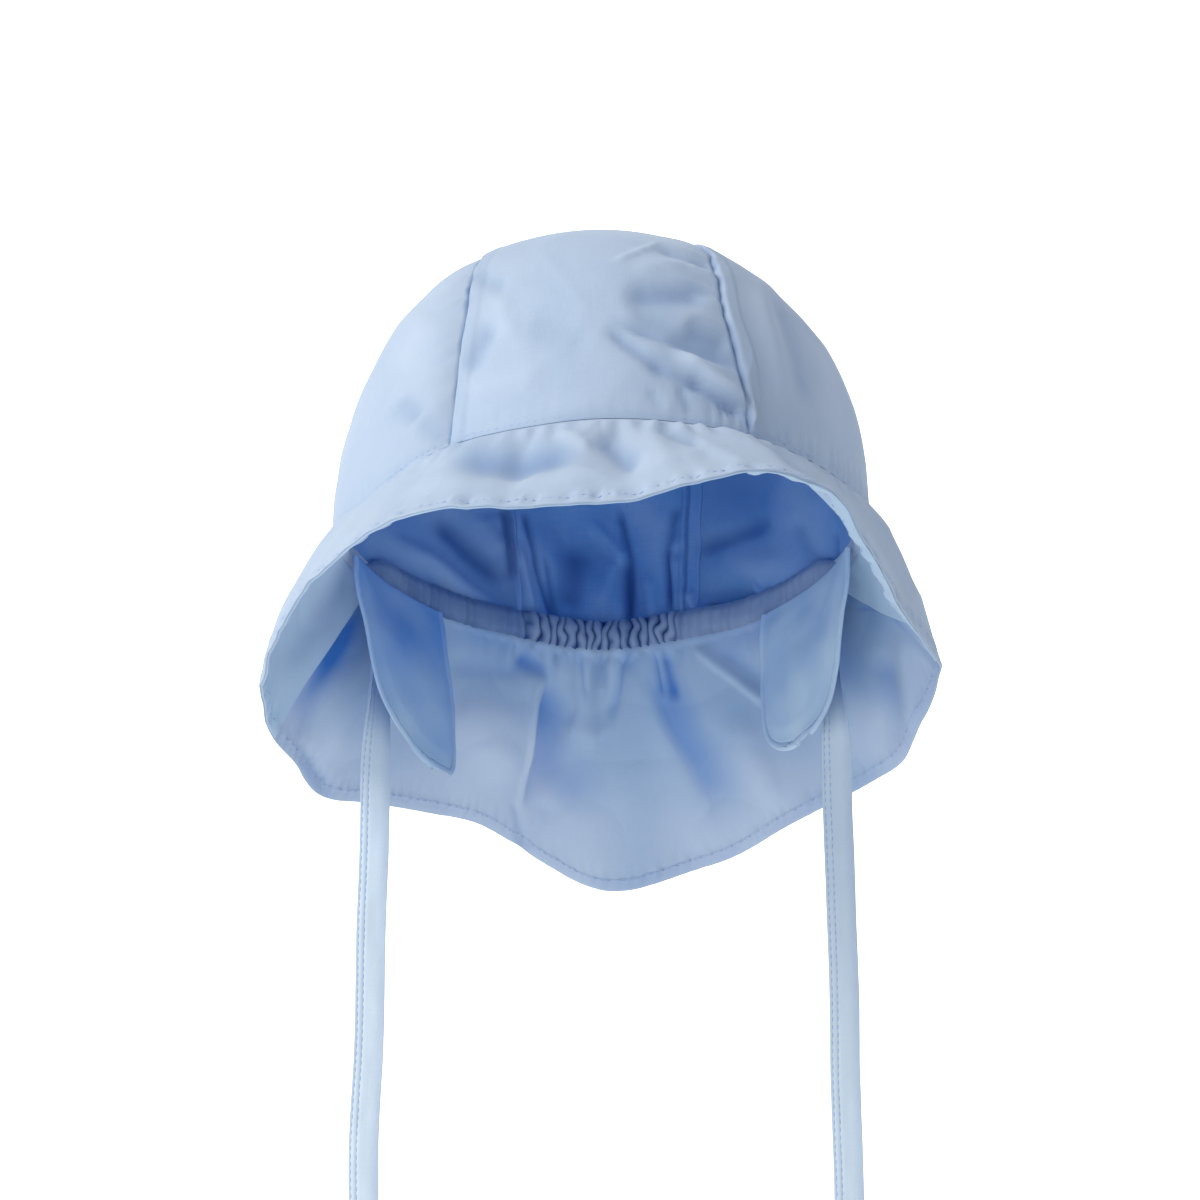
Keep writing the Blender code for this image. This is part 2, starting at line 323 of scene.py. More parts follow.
class FinishMaker:
    """Builds one material's nodes around its Principled shader."""

    def __init__(self, name: str) -> None:
        """Start a material.

        Args:
            name: The material's name.
        """
        self.material = bpy.data.materials.new(name)
        self.material.use_nodes = True
        self.tree = self.material.node_tree
        self.shader = self.tree.nodes["Principled BSDF"]

    def node(
        self, kind: str, settings: dict[str, object], sockets: dict[str | int, object]
    ) -> bpy.types.Node:
        """Add a node.

        Args:
            kind: The node's type.
            settings: Its own settings, which are set first.
            sockets: Values or links for its input sockets, by name or number.

        Returns:
            The node.
        """
        made = self.tree.nodes.new(kind)
        for name, value in settings.items():
            setattr(made, name, value)
        for key, value in sockets.items():
            if isinstance(value, Level):
                value = value.socket
            if isinstance(value, bpy.types.NodeSocket):
                self.tree.links.new(value, made.inputs[key])
            else:
                made.inputs[key].default_value = value
        return made

    def maths(self, operation: str, *values: Level | float, clamp: bool = False) -> Level:
        """Add a Math node on one or two values.

        Args:
            operation: The node's operation.
            values: One or two values.
            clamp: True to keep the result between 0 and 1.

        Returns:
            The result.
        """
        settings = {"operation": operation, "use_clamp": clamp}
        made = self.node("ShaderNodeMath", settings, dict(enumerate(values)))
        return Level(self, made.outputs[0])

    def attribute(self, name: str) -> Level:
        """Read a number that the mesh holds at each of its points."""
        made = self.node("ShaderNodeAttribute", {"attribute_name": name}, {})
        return Level(self, made.outputs["Fac"])

    def speckle(self, vector: bpy.types.NodeSocket, scale: float, detail: float) -> Level:
        """Add a Noise texture.

        Args:
            vector: The coordinate.
            scale: How fine the noise is.
            detail: How many finer layers it has.

        Returns:
            The noise, from 0 to 1.
        """
        sockets = {"Vector": vector, "Scale": scale, "Detail": detail, "Roughness": 0.55}
        made = self.node("ShaderNodeTexNoise", {}, sockets)
        return Level(self, made.outputs["Fac"])

    def stretched(self, vector: bpy.types.NodeSocket, across: float, along: float) -> bpy.types.NodeSocket:
        """Scale a coordinate differently across and along the cloth."""
        made = self.node("ShaderNodeMapping", {}, {"Vector": vector, "Scale": (across, along, 1.0)})
        return made.outputs["Vector"]

    def blended(self, share: Level, first: object, second: object) -> bpy.types.NodeSocket:
        """Mix two colours.

        Args:
            share: How much of the second colour shows.
            first: The first colour.
            second: The second colour.

        Returns:
            The mixed colour.
        """
        settings = {"data_type": "RGBA", "blend_type": "MIX", "clamp_factor": True}
        made = self.node("ShaderNodeMix", settings, {0: share, 6: first, 7: second})
        return made.outputs[2]


@dataclass(frozen=True)
class Cotton:
    """Plain woven cotton, with the dye right through and the slubs and mottling of a soft poplin, under tints
    of painted shade and painted highlights.
    """

    name: str
    colour: Colour
    # doubled, deep and shade are colours of painted shade, and light is the colour of painted highlights and
    # of painted light through the cloth.
    doubled: Colour
    deep: Colour = (0.10, 0.20, 0.48)
    shade: Colour = (0.16, 0.29, 0.54)
    light: Colour = (0.70, 0.80, 0.95)
    inner: bool = False
    thread_pitch: float = 0.00045
    weave_height: float = 0.00003
    crumple_height: float = 0.00012
    roughness: float = 0.82
    sheen: float = 0.25
    mottle: float = 0.10

    def material(self) -> bpy.types.Material:
        """Build the material.

        Returns:
            The finished cotton.
        """
        maker = FinishMaker(self.name)
        uv = maker.node("ShaderNodeTexCoord", {}, {}).outputs["UV"]
        place = maker.node("ShaderNodeTexCoord", {}, {}).outputs["Object"]
        split = maker.node("ShaderNodeSeparateXYZ", {}, {"Vector": uv})
        across = Level(maker, split.outputs["X"])
        along = Level(maker, split.outputs["Y"])
        turns = 2.0 * pi / self.thread_pitch
        weave = (across * turns).sine() * (along * turns).sine()
        weft = maker.speckle(maker.stretched(uv, 90.0, 2600.0), 1.0, 2.0)
        warp = maker.speckle(maker.stretched(uv, 2600.0, 90.0), 1.0, 2.0)
        slub = weft + warp - 1.0
        wash = maker.speckle(place, 38.0, 3.0)
        paler = tuple(channel + (1.0 - channel) * self.mottle for channel in self.colour)
        share = (0.5 + (wash - 0.5) * 2.2 + slub * 0.9).held()
        dye_and_painted_light = maker.blended(share, (*self.colour, 1.0), (*paler, 1.0))
        # Painted shade where the cloth is doubled and in grooves, then painted highlights on folds.
        dye_and_painted_light = maker.blended(maker.attribute("doubled"), dye_and_painted_light, (*self.doubled, 1.0))
        dye_and_painted_light = maker.blended(maker.attribute("groove"), dye_and_painted_light, (*self.shade, 1.0))
        dye_and_painted_light = maker.blended(maker.attribute("bright"), dye_and_painted_light, (*self.light, 1.0))
        # Inner faces also take painted shade in folds and painted light that comes through the cloth.
        if self.inner:
            dye_and_painted_light = maker.blended(maker.attribute("deep"), dye_and_painted_light, (*self.deep, 1.0))
            dye_and_painted_light = maker.blended(maker.attribute("pale"), dye_and_painted_light, (*self.light, 1.0))
        micro = maker.speckle(place, 420.0, 4.0)
        height = weave * self.weave_height + slub * (2.0 * self.weave_height) + micro * self.crumple_height
        relief = maker.node("ShaderNodeBump", {}, {"Strength": 0.8, "Distance": 1.0, "Height": height})
        rough = self.roughness + slub * 0.10
        links = maker.tree.links
        links.new(dye_and_painted_light, maker.shader.inputs["Base Color"])
        links.new(rough.socket, maker.shader.inputs["Roughness"])
        links.new(relief.outputs["Normal"], maker.shader.inputs["Normal"])
        maker.shader.inputs["Sheen Weight"].default_value = 0.0 if self.inner else self.sheen
        maker.shader.inputs["Sheen Roughness"].default_value = 0.5
        maker.shader.inputs["Specular IOR Level"].default_value = 0.25
        return maker.material


@dataclass(frozen=True)
class Thread:
    """Twisted polyester sewing thread."""

    name: str
    colour: Colour
    twist_pitch: float = 0.0006
    roughness: float = 0.6

    def material(self) -> bpy.types.Material:
        """Build the material.

        Returns:
            The finished thread.
        """
        maker = FinishMaker(self.name)
        place = maker.node("ShaderNodeTexCoord", {}, {}).outputs["Object"]
        split = maker.node("ShaderNodeSeparateXYZ", {}, {"Vector": place})
        slant = Level(maker, split.outputs["X"]) + Level(maker, split.outputs["Z"])
        # The paler stripes along the twist are painted highlights on the thread's plies.
        twist = (slant * (2.0 * pi / self.twist_pitch)).sine() * 0.5 + 0.5
        paler = tuple(min(1.0, channel * 1.35) for channel in self.colour)
        dye_and_painted_light = maker.blended(twist, (*self.colour, 1.0), (*paler, 1.0))
        fuzz = maker.speckle(place, 2600.0, 2.0)
        maker.tree.links.new(dye_and_painted_light, maker.shader.inputs["Base Color"])
        maker.tree.links.new((self.roughness + (fuzz - 0.5) * 0.2).socket, maker.shader.inputs["Roughness"])
        return maker.material


@dataclass(frozen=True)
class Backdrop:
    """Matt studio paper or board."""

    name: str
    colour: Colour
    glow: float = 0.0

    def material(self) -> bpy.types.Material:
        """Build the material.

        Returns:
            The finished board.
        """
        maker = FinishMaker(self.name)
        place = maker.node("ShaderNodeTexCoord", {}, {}).outputs["Object"]
        grain = maker.speckle(place, 60.0, 3.0)
        paler = tuple(min(1.0, channel * 1.02) for channel in self.colour)
        tone = maker.blended(grain, (*self.colour, 1.0), (*paler, 1.0))
        maker.tree.links.new(tone, maker.shader.inputs["Base Color"])
        maker.shader.inputs["Roughness"].default_value = 0.95
        maker.shader.inputs["Emission Color"].default_value = (1.0, 1.0, 1.0, 1.0)
        maker.shader.inputs["Emission Strength"].default_value = self.glow
        return maker.material


class ClothPiece:
    """One cut piece of cloth: a fine grid laid on a surface, with relief along its own normals."""

    def __init__(
        self, name: str, lay: Callable[[float, float], Spot], columns: int, rows: int, out: int
    ) -> None:
        """Lay the grid on its plain surface.

        Args:
            name: The piece's name.
            lay: Gives the spot at two shares, across and along the cut piece.
            columns: Cells across.
            rows: Cells along.
            out: 1 where the grid's own normals point out of the hat, -1 where they point in.
        """
        self.name = name
        self.columns = columns
        self.rows = rows
        self.out = out
        self.spots = [[lay(i / columns, j / rows) for i in range(columns + 1)] for j in range(rows + 1)]
        self.points = [[spot.point.copy() for spot in row] for row in self.spots]
        self.normals = self._normals()

    def _normals(self, known: bool = True) -> list[list[Vector]]:
        """Work out the outward normal at each grid point.

        Args:
            known: True to trust the normals that the spots bring along.

        Returns:
            Unit vectors, row by row.
        """
        found = []
        for j in range(self.rows + 1):
            above, below = max(0, j - 1), min(self.rows, j + 1)
            row = []
            for i in range(self.columns + 1):
                before, after = max(0, i - 1), min(self.columns, i + 1)
                given = self.spots[j][i].facing
                if known and given is not None:
                    row.append(given)
                    continue
                across = self.points[j][after] - self.points[j][before]
                along = self.points[below][i] - self.points[above][i]
                facing = across.cross(along) * self.out
                if facing.length < FLAT_FACE:
                    facing = given if given is not None else Vector((0.0, 0.0, 1.0))
                if given is not None and facing.dot(given) < 0.0:
                    facing = -facing
                row.append(facing.normalized())
            found.append(row)
        return found

    def raise_by(self, relief: Callable[[Spot], float]) -> ClothPiece:
        """Move every point along its normal.

        Args:
            relief: Gives the height at a spot, outward positive.

        Returns:
            This piece.
        """
        for j, row in enumerate(self.spots):
            for i, spot in enumerate(row):
                self.points[j][i] = self.points[j][i] + self.normals[j][i] * relief(spot)
        self.normals = self._normals(known=False)
        return self

    def measure_edges(self, sides: Sequence[str]) -> ClothPiece:
        """Work out how far every spot is from the piece's free edges.

        Args:
            sides: The free edges, among first, last and end.

        Returns:
            This piece.
        """
        border = []
        for j in range(self.rows + 1):
            border += [self.points[j][0]] if "first" in sides else []
            border += [self.points[j][-1]] if "last" in sides else []
        border += list(self.points[-1]) if "end" in sides else []
        tree = kdtree.KDTree(len(border))
        for index, point in enumerate(border):
            tree.insert(point, index)
        tree.balance()
        for row in self.spots:
            row[:] = [spot._replace(edge=tree.find(spot.point)[2]) for spot in row]
        return self

    def at(self, across: float, along: float) -> tuple[Vector, Vector]:
        """Find a place on the finished piece.

        Args:
            across: Share across, from 0 to 1.
            along: Share along, from 0 to 1.

        Returns:
            The point and its outward normal.
        """
        x = min(1.0, max(0.0, across)) * self.columns
        y = min(1.0, max(0.0, along)) * self.rows
        i, j = min(self.columns - 1, int(x)), min(self.rows - 1, int(y))
        right, down = x - i, y - j
        corners = ((i, j, (1 - right) * (1 - down)), (i + 1, j, right * (1 - down)))
        corners += ((i, j + 1, (1 - right) * down), (i + 1, j + 1, right * down))
        point = sum((self.points[b][a] * share for a, b, share in corners), Vector())
        normal = sum((self.normals[b][a] * share for a, b, share in corners), Vector())
        return point, normal.normalized()

    def cut(self) -> tuple[float, float, float]:
        """Measure the flat piece that the cloth was cut to.

        Returns:
            Its greatest width, its greatest length and its area.
        """
        rows = [[spot.point for spot in row] for row in self.spots]
        width = max(sum((b - a).length for a, b in zip(row, row[1:])) for row in rows)
        length = max(sum((b - a).length for a, b in zip(column, column[1:])) for column in zip(*rows))
        area = 0.0
        for upper, lower in zip(rows, rows[1:]):
            for i in range(self.columns):
                first = (upper[i + 1] - upper[i]).cross(lower[i] - upper[i]).length
                second = (upper[i + 1] - lower[i + 1]).cross(lower[i] - lower[i + 1]).length
                area += (first + second) / 2.0
        return width, length, min(area, width * length)

    def make(
        self,
        wall: float,
        finishes: tuple[bpy.types.Material, bpy.types.Material],
        tints: dict[str, Callable[[Spot], float]],
    ) -> bpy.types.Object:
        """Make the piece's mesh with its wall.

        Args:
            wall: Thickness of the cloth.
            finishes: The outer and inner materials.
            tints: How strongly each named tint of painted shade and painted light colours a spot, from 0 to
                1.

        Returns:
            The finished object.
        """
        shape = bmesh.new()
        bmesh.ops.create_grid(shape, x_segments=self.columns, y_segments=self.rows, size=0.5)
        sheet = shape.loops.layers.uv.new("Cloth")
        for tint in TINTS:
            shape.verts.layers.float.new(tint)
        layers = [(shape.verts.layers.float[tint], tints.get(tint)) for tint in TINTS]
        width, length, _ = self.cut()
        for face in shape.faces:
            for loop in face.loops:
                flat = loop.vert.co
                loop[sheet].uv = ((flat.x + 0.5) * width, (flat.y + 0.5) * length)
        for vertex in shape.verts:
            i = round((vertex.co.x + 0.5) * self.columns)
            j = round((vertex.co.y + 0.5) * self.rows)
            spot = self.spots[j][i]
            vertex.co = self.points[j][i]
            for layer, strength in layers:
                vertex[layer] = min(1.0, max(0.0, strength(spot))) if strength else 0.0
        if self.out < 0:
            bmesh.ops.reverse_faces(shape, faces=shape.faces)
        bmesh.ops.remove_doubles(shape, verts=shape.verts, dist=WELD)
        mesh = bpy.data.meshes.new(self.name)
        shape.to_mesh(mesh)
        shape.free()
        mesh.shade_smooth()
        for finish in finishes:
            mesh.materials.append(finish)
        item = bpy.data.objects.new(self.name, mesh)
        bpy.context.scene.collection.objects.link(item)
        solid = item.modifiers.new("Wall", "SOLIDIFY")
        solid.thickness = wall
        solid.offset = -1.0
        solid.material_offset = 1
        round_over = item.modifiers.new("Soft edge", "BEVEL")
        round_over.width = wall * EDGE_ROUNDING
        round_over.segments = 2
        round_over.limit_method = "ANGLE"
        round_over.angle_limit = SHARP_ANGLE
        return item


@dataclass
class StitchRow:
    """A row of machine stitches, each a small lens of thread."""

    name: str
    thread: bpy.types.Material
    length: float = 0.0016
    gap: float = 0.0007
    thickness: float = 0.00030
    proud: float = 0.00004

    def make(self, routes: Sequence[Sequence[tuple[Vector, Vector]]]) -> bpy.types.Object:
        """Lay stitches along routes of points and normals.

        Args:
            routes: One or more routes, each a list of places on the cloth with its normals.

        Returns:
            The joined stitches.
        """
        shape = bmesh.new()
        for route in routes:
            for start, end, normal in self._spans(route):
                self._stitch(shape, start, end, normal)
        mesh = bpy.data.meshes.new(self.name)
        shape.to_mesh(mesh)
        shape.free()
        mesh.shade_smooth()
        mesh.materials.append(self.thread)
        item = bpy.data.objects.new(self.name, mesh)
        bpy.context.scene.collection.objects.link(item)
        return item

    def _spans(self, route: Sequence[tuple[Vector, Vector]]) -> Iterator[tuple[Vector, Vector, Vector]]:
        """Cut a route into stitches.

        Args:
            route: Places with their normals.

        Yields:
            Each stitch's start, end and normal.
        """
        step = self.length + self.gap
        travelled = [0.0]
        for (before, _), (after, _) in zip(route, route[1:]):
            travelled.append(travelled[-1] + (after - before).length)
        count = max(1, int(travelled[-1] / step))
        index = 0

        def place(distance: float) -> tuple[Vector, Vector]:
            """Find the place at a distance along the route.

            Args:
                distance: How far along the route.

            Returns:
                The point and its normal.
            """
            nonlocal index
            while index < len(travelled) - 2 and travelled[index + 1] < distance:
                index += 1
            reach = travelled[index + 1] - travelled[index]
            share = (distance - travelled[index]) / reach if reach > 0.0 else 0.0
            (first, up), (second, next_up) = route[index], route[index + 1]
            return first.lerp(second, share), up.lerp(next_up, share)

        for number in range(count):
            start, up = place(number * step + self.gap / 2.0)
            end, next_up = place(number * step + self.gap / 2.0 + self.length)
            yield start, end, (up + next_up).normalized()

    def _stitch(self, shape: bmesh.types.BMesh, start: Vector, end: Vector, normal: Vector) -> None:
        """Add one stitch.

        Args:
            shape: The mesh to add it to.
            start: Where the thread comes out.
            end: Where it goes in.
            normal: The cloth's outward direction.
        """
        run = end - start
        if run.length < SHORTEST_STITCH:
            return
        forward = run.normalized()
        sideways = normal.cross(forward).normalized()
        up = forward.cross(sideways)
        turn = Matrix((forward, sideways, up)).transposed().to_4x4()
        half = (run.length / 2.0, self.thickness / 2.0, self.thickness / 2.0)
        size = Matrix.Diagonal((*half, 1.0))
        middle = (start + end) / 2.0 + normal * self.proud
        place = Matrix.Translation(middle) @ turn @ size
        bmesh.ops.create_icosphere(shape, subdivisions=1, radius=1.0, matrix=place)


@dataclass(frozen=True)
class Opening:
    """The head opening, whose rim carries every other piece."""

    half_width: float = 0.0775
    half_depth: float = 0.086
    slant: float = radians(13.5)
    wave: float = 0.005
    gather: float = 0.0016
    gathers: int = 7
    gathered_angle: float = 30.0
    waves: tuple[Wave, ...] = (
        Wave(-180, 0.0),
        Wave(-148, 0.6),
        Wave(-110, 0.7),
        Wave(-93, 0.3),
        Wave(-75, -0.7),
        Wave(-60, -1.2),
        Wave(-50, -1.0),
        Wave(-36, -0.4),
        Wave(-15, -0.2),
        Wave(0, 0.0),
        Wave(30, 0.12),
        Wave(60, 0.2),
        Wave(90, 1.1),
        Wave(112, 0.85),
        Wave(140, 0.5),
        Wave(162, 0.3),
    )

    def tilt(self, x: float, y: float, z: float) -> Vector:
        """Turn a point of the opening's own plane so that the front is higher than the nape."""
        level, steep = cos(self.slant), sin(self.slant)
        return Vector((x, y * level + z * steep, z * level - y * steep))

    def rise(self, azimuth: float) -> float:
        """Give the rim's height above its plane."""
        return self.wave * around(self.waves, azimuth, "rise")

    def rim(self, azimuth: float, inset: float = 0.0, lift: float = 0.0) -> Vector:
        """Give a point of the crown's lower edge.

        Args:
            azimuth: Degrees from the front.
            inset: How far inside the rim.
            lift: How far above it.

        Returns:
            The point.
        """
        turn = radians(azimuth)
        x = (self.half_width - inset) * sin(turn)
        y = -(self.half_depth - inset) * cos(turn)
        return self.tilt(x, y, lift) + Vector((0.0, 0.0, self.rise(azimuth)))

    def outward(self, azimuth: float) -> Vector:
        """Give the horizontal direction away from the opening."""
        turn = radians(azimuth)
        return Vector((sin(turn) / self.half_width, -cos(turn) / self.half_depth, 0.0)).normalized()

    def nape_ripple(self, azimuth: float) -> float:
        """Give the ripple of the cloth where elastic gathers the nape.

        Args:
            azimuth: Degrees from the front.

        Returns:
            The height, outward positive.
        """
        away = abs(wrap(azimuth - 180.0))
        fade = 1.0 - smoothstep(away / self.gathered_angle)
        return self.gather * fade * cos(pi * self.gathers * away / self.gathered_angle)

    def arc(self, azimuth: float) -> float:
        """Give the distance round the rim from the front."""
        return radians(azimuth) * (self.half_width + self.half_depth) / 2.0


@dataclass(frozen=True)
class StudioCamera:
    """The camera of the photograph: a long lens a little below the hat's brow."""

    distance: float = 1.2
    climb: float = radians(9.0)
    lens: float = 124.14
    sensor: float = 36.0
    across: float = -0.00058
    drop: float = 0.0165

    def seen(self, point: Vector) -> tuple[float, float]:
        """Project a point on the plane through the origin that faces the camera.

        Args:
            point: A point of the hat.

        Returns:
            How far it shows across and up, in metres.
        """
        depth = point.y * cos(self.climb) + point.z * sin(self.climb)
        up = point.z * cos(self.climb) - point.y * sin(self.climb)
        nearer = 1.0 + depth / self.distance
        return point.x / nearer, up / nearer

    def make(self) -> bpy.types.Object:
        """Place the camera.

        Returns:
            The camera.
        """
        data = bpy.data.cameras.new("studio_camera")
        data.lens = self.lens
        data.sensor_width = self.sensor
        data.sensor_fit = "HORIZONTAL"
        item = bpy.data.objects.new("studio_camera", data)
        forward = Vector((0.0, cos(self.climb), sin(self.climb)))
        up = Vector((0.0, -sin(self.climb), cos(self.climb)))
        item.location = Vector((self.across, 0.0, 0.0)) - forward * self.distance - up * self.drop
        item.rotation_euler = (pi / 2.0 + self.climb, 0.0, 0.0)
        bpy.context.scene.collection.objects.link(item)
        bpy.context.scene.camera = item
        return item


def crease_height(creases: Sequence[Crease], across: float, up: float) -> float:
    """Add up the creases at a place seen from in front.

    Args:
        creases: The creases.
        across: Where the place shows across the view.
        up: Where it shows up the view.

    Returns:
        Their height there.
    """
    total = 0.0
    for crease in creases:
        run_x = crease.across_end - crease.across_start
        run_y = crease.up_end - crease.up_start
        reach = hypot(run_x, run_y)
        off_x = across - crease.across_start
        off_y = up - crease.up_start
        along = (off_x * run_x + off_y * run_y) / reach / reach
        aside = (off_x * run_y - off_y * run_x) / reach
        fade = smoothstep(2.5 * along + 0.5) * smoothstep(2.5 * (1.0 - along) + 0.5)
        width = crease.half_width * (1.0 - crease.skew if aside > 0.0 else 1.0 + crease.skew)
        total += crease.height * fade * bell(aside, width)
    return total


@dataclass
class Crown:
    """The domed crown: a centre panel from front to nape and a side panel at each side."""

    opening: Opening
    view: StudioCamera
    thread: bpy.types.Material
    height: float = 0.0865
    fullness: float = 2.42
    half_front: float = 0.0415
    half_top: float = 0.0312
    half_nape: float = 0.026
    lean: float = 0.0024
    cloth: float = 0.0005
    groove_depth: float = 0.0009
    groove_width: float = 0.0007
    valley_depth: float = 0.0010
    valley_width: float = 0.0050
    fold_width: float = 0.0008
    allowance: float = 0.0045
    allowance_height: float = 0.0004
    allowance_ply: float = 0.0002
    seam_wander: float = 0.0004
    seam_pucker: float = 0.0005
    rim_pucker: float = 0.00085
    pucker_wave: float = 0.0046
    pucker_reach: float = 0.010
    stitch_rise: float = 0.0012
    soft_crumple: float = 0.0011
    fine_crumple: float = 0.0003
    wrinkle_height: float = 0.00028
    inner_crumple: float = 0.0030
    front_end: float = 0.01
    widths: tuple[Width, ...] = (
        Width(0.00, 1.00, 0.0),
        Width(0.28, 0.50, 0.0),
        Width(0.50, 0.00, 0.0),
        Width(0.75, 0.00, 0.5),
        Width(1.00, 0.00, 1.0),
    )
    creases: tuple[Crease, ...] = creases_from(
        (87, 705, 299, 716, 38, -20),
        (75, 618, 386, 513, 32, -22, 0.55),
        (255, 618, 365, 574, 30, -12),
        (58, 653, 215, 574, 22, 9),
        (238, 542, 412, 403, 23, 22, -0.2),
        (29, 600, 168, 496, 18, -16),
        (154, 502, 284, 449, 23, -15),
        (270, 461, 406, 374, 18, -21, -0.3),
        (226, 444, 255, 371, 14, -9),
        (139, 429, 168, 380, 13, -6),
        (46, 815, 154, 864, 9, 8),
        (174, 850, 319, 803, 15, -12),
        (255, 809, 328, 783, 10, 8),
        (110, 792, 255, 815, 20, 6),
        (348, 400, 354, 362, 8, -7),
        (368, 403, 374, 357, 8, -7),
        (389, 397, 394, 345, 8, -8),
        (-319, 618, -383, 496, 26, -13),
        (-354, 763, -281, 745, 30, -8),
        (-296, 705, -261, 589, 30, 7),
        (-383, 429, -180, 473, 40, 8),
        (-194, 618, -49, 574, 50, -6),
        (458, 734, 531, 415, 30, 9),
        (510, 705, 589, 415, 30, -9),
        (618, 560, 676, 299, 40, 8),
        (-586, 400, -539, 357, 34, -12),
        (-528, 342, -470, 299, 30, -8),
        (-499, 647, -563, 502, 60, 9),
        (423, 400, 447, 342, 14, 9),
    )
    inner_creases: tuple[Crease, ...] = creases_from(
        (-281, 110, -261, -93, 18, -24),
        (-220, 96, -191, -55, 13, -20),
        (-197, -49, -145, -209, 12, -22),
        (-244, -6, -209, -180, 12, 16),
        (-165, -35, -133, -200, 12, -18),
        (-70, -6, -93, -165, 45, -22),
        (-29, 67, 70, -38, 18, 20),
        (-6, -165, 29, -49, 16, 14),
        (52, 101, 84, -38, 13, -20),
        (81, -38, 81, -229, 18, -30),
        (128, -93, 154, -223, 22, 20),
        (191, -14, 203, -180, 12, -26),
        (215, 110, 191, -14, 18, -20),
        (284, -6, 473, 67, 30, -18),
        (284, -84, 545, -49, 50, 18),
        (-600, 9, -302, -188, 30, 24),
        (-470, 67, -296, -93, 32, -24),
        (-354, 81, -296, -6, 25, 14),
        (684, 35, 684, -55, 8, -12),
        (449, -116, 496, -215, 12, 18),
        (574, 67, 632, -78, 30, -14),
        (255, -136, 284, -209, 16, 16),
        (319, -165, 342, -229, 14, -16),
        (-528, -49, -441, -165, 20, -14),
    )
    puckers: tuple[Pucker, ...] = (
        Pucker(-150, 0.5),
        Pucker(-60, 0.15),
        Pucker(-10, 0.2),
        Pucker(15, 0.25),
        Pucker(27, 0.7),
        Pucker(34, 0.4),
        Pucker(42, 0.9),
        Pucker(52, 1.2),
        Pucker(66, 1.0),
        Pucker(85, 0.6),
        Pucker(150, 0.5),
    )

    pulls: tuple[Pull, ...] = (
        Pull(0.000, 0.0008, -0.0008),
        Pull(0.064, 0.0018, 0.0010),
        Pull(0.124, 0.0036, 0.0018),
        Pull(0.213, 0.0028, 0.0018),
        Pull(0.272, 0.0032, 0.0036),
        Pull(0.345, 0.0068, 0.0056),
        Pull(0.420, 0.0076, 0.0062),
        Pull(0.700, 0.0010, 0.0010),
        Pull(1.000, 0.0000, 0.0000),
    )

    def half_width(self, along: float) -> float:
        """Give the centre panel's half-width, from 0 at the front to 1 at the nape.

        Args:
            along: Share from the front, 0, to the nape, 1.

        Returns:
            The half-width.
        """
        first, second, t = eased_between(self.widths, along)
        front = first.front + (second.front - first.front) * t
        nape = first.nape + (second.nape - first.nape) * t
        front_part = front * (self.half_front - self.half_top)
        return self.half_top + front_part + nape * (self.half_nape - self.half_top)

    def seam_x(self, side: Side, along: float) -> float:
        """Give a panel seam's distance from the middle plane.

        Args:
            side: The seam's side.
            along: Share from the front, 0, to the nape, 1.

        Returns:
            The distance.
        """
        wander = self.seam_wander * ripple(along * 0.25, 0.013, 17.0 + side.value) * sin(pi * along)
        first, second, share = eased_between(self.pulls, along)
        column = side.name.lower()
        pull = getattr(first, column) * (1.0 - share) + getattr(second, column) * share
        return self.half_width(along) - side.value * self.lean * sin(pi * along) + wander - pull

    def plan(self, x: float, y: float) -> Spot:
        """Find the place on the crown above a plan position of the opening's plane.

        Args:
            x: Across the opening.
            y: From front to nape.

        Returns:
            The spot, whose seam distance is positive on the side panels.
        """
        width, depth, power = self.opening.half_width, self.opening.half_depth, self.fullness
        share = min(1.0, hypot(x / width, y / depth))
        height = (1.0 - share**power) ** (1.0 / power)
        azimuth = degrees(atan2(x / width, -y / depth))
        rise = self.opening.rise(azimuth) * (1.0 - height) ** 2
        gathered = self.opening.outward(azimuth) * self.opening.nape_ripple(azimuth) * (1.0 - height) ** 3
        point = self.opening.tilt(x, y, self.height * height) + gathered + Vector((0.0, 0.0, rise))
        reach = depth * max(1e-9, 1.0 - (x / width) ** 2) ** 0.5
        along = acos(max(-1.0, min(1.0, -y / reach))) / pi
        side = Side.RIGHT if x >= 0.0 else Side.LEFT
        steep = share ** (power - 2.0)
        up = height ** (power - 1.0) / self.height
        facing = self.opening.tilt(x / width**2 * steep, y / depth**2 * steep, up).normalized()
        seam = abs(x) - self.seam_x(side, along)
        return Spot(point, facing, azimuth, seam, self.height * height, 1.0, along)

    def at_rim(self, azimuth: float, rise: float) -> tuple[Vector, Vector]:
        """Find a place on the finished crown near its lower edge.

        Args:
            azimuth: Degrees from the front.
            rise: Height above the opening's plane.

        Returns:
            The point and its normal.
        """
        here = (1.0 - (rise / self.height) ** self.fullness) ** (1.0 / self.fullness)
        turn = radians(azimuth)
        x = self.opening.half_width * here * sin(turn)
        spot = self.plan(x, -self.opening.half_depth * here * cos(turn))
        return spot.point + spot.facing * self.relief(spot), spot.facing

    def lay_centre(self, across: float, along: float) -> Spot:
        """Lay the centre panel.

        Args:
            across: Share from the left seam to the right.
            along: Share from the front, 0, to the nape, 1.

        Returns:
            The spot.
        """
        eased = 0.35 * across + 0.65 * (0.5 - 0.5 * cos(pi * across))
        x = self.seam_x(Side.RIGHT, along) * eased - self.seam_x(Side.LEFT, along) * (1.0 - eased)
        reach = self.opening.half_depth * (1.0 - (x / self.opening.half_width) ** 2) ** 0.5
        return self.plan(x, -reach * cos(pi * along))

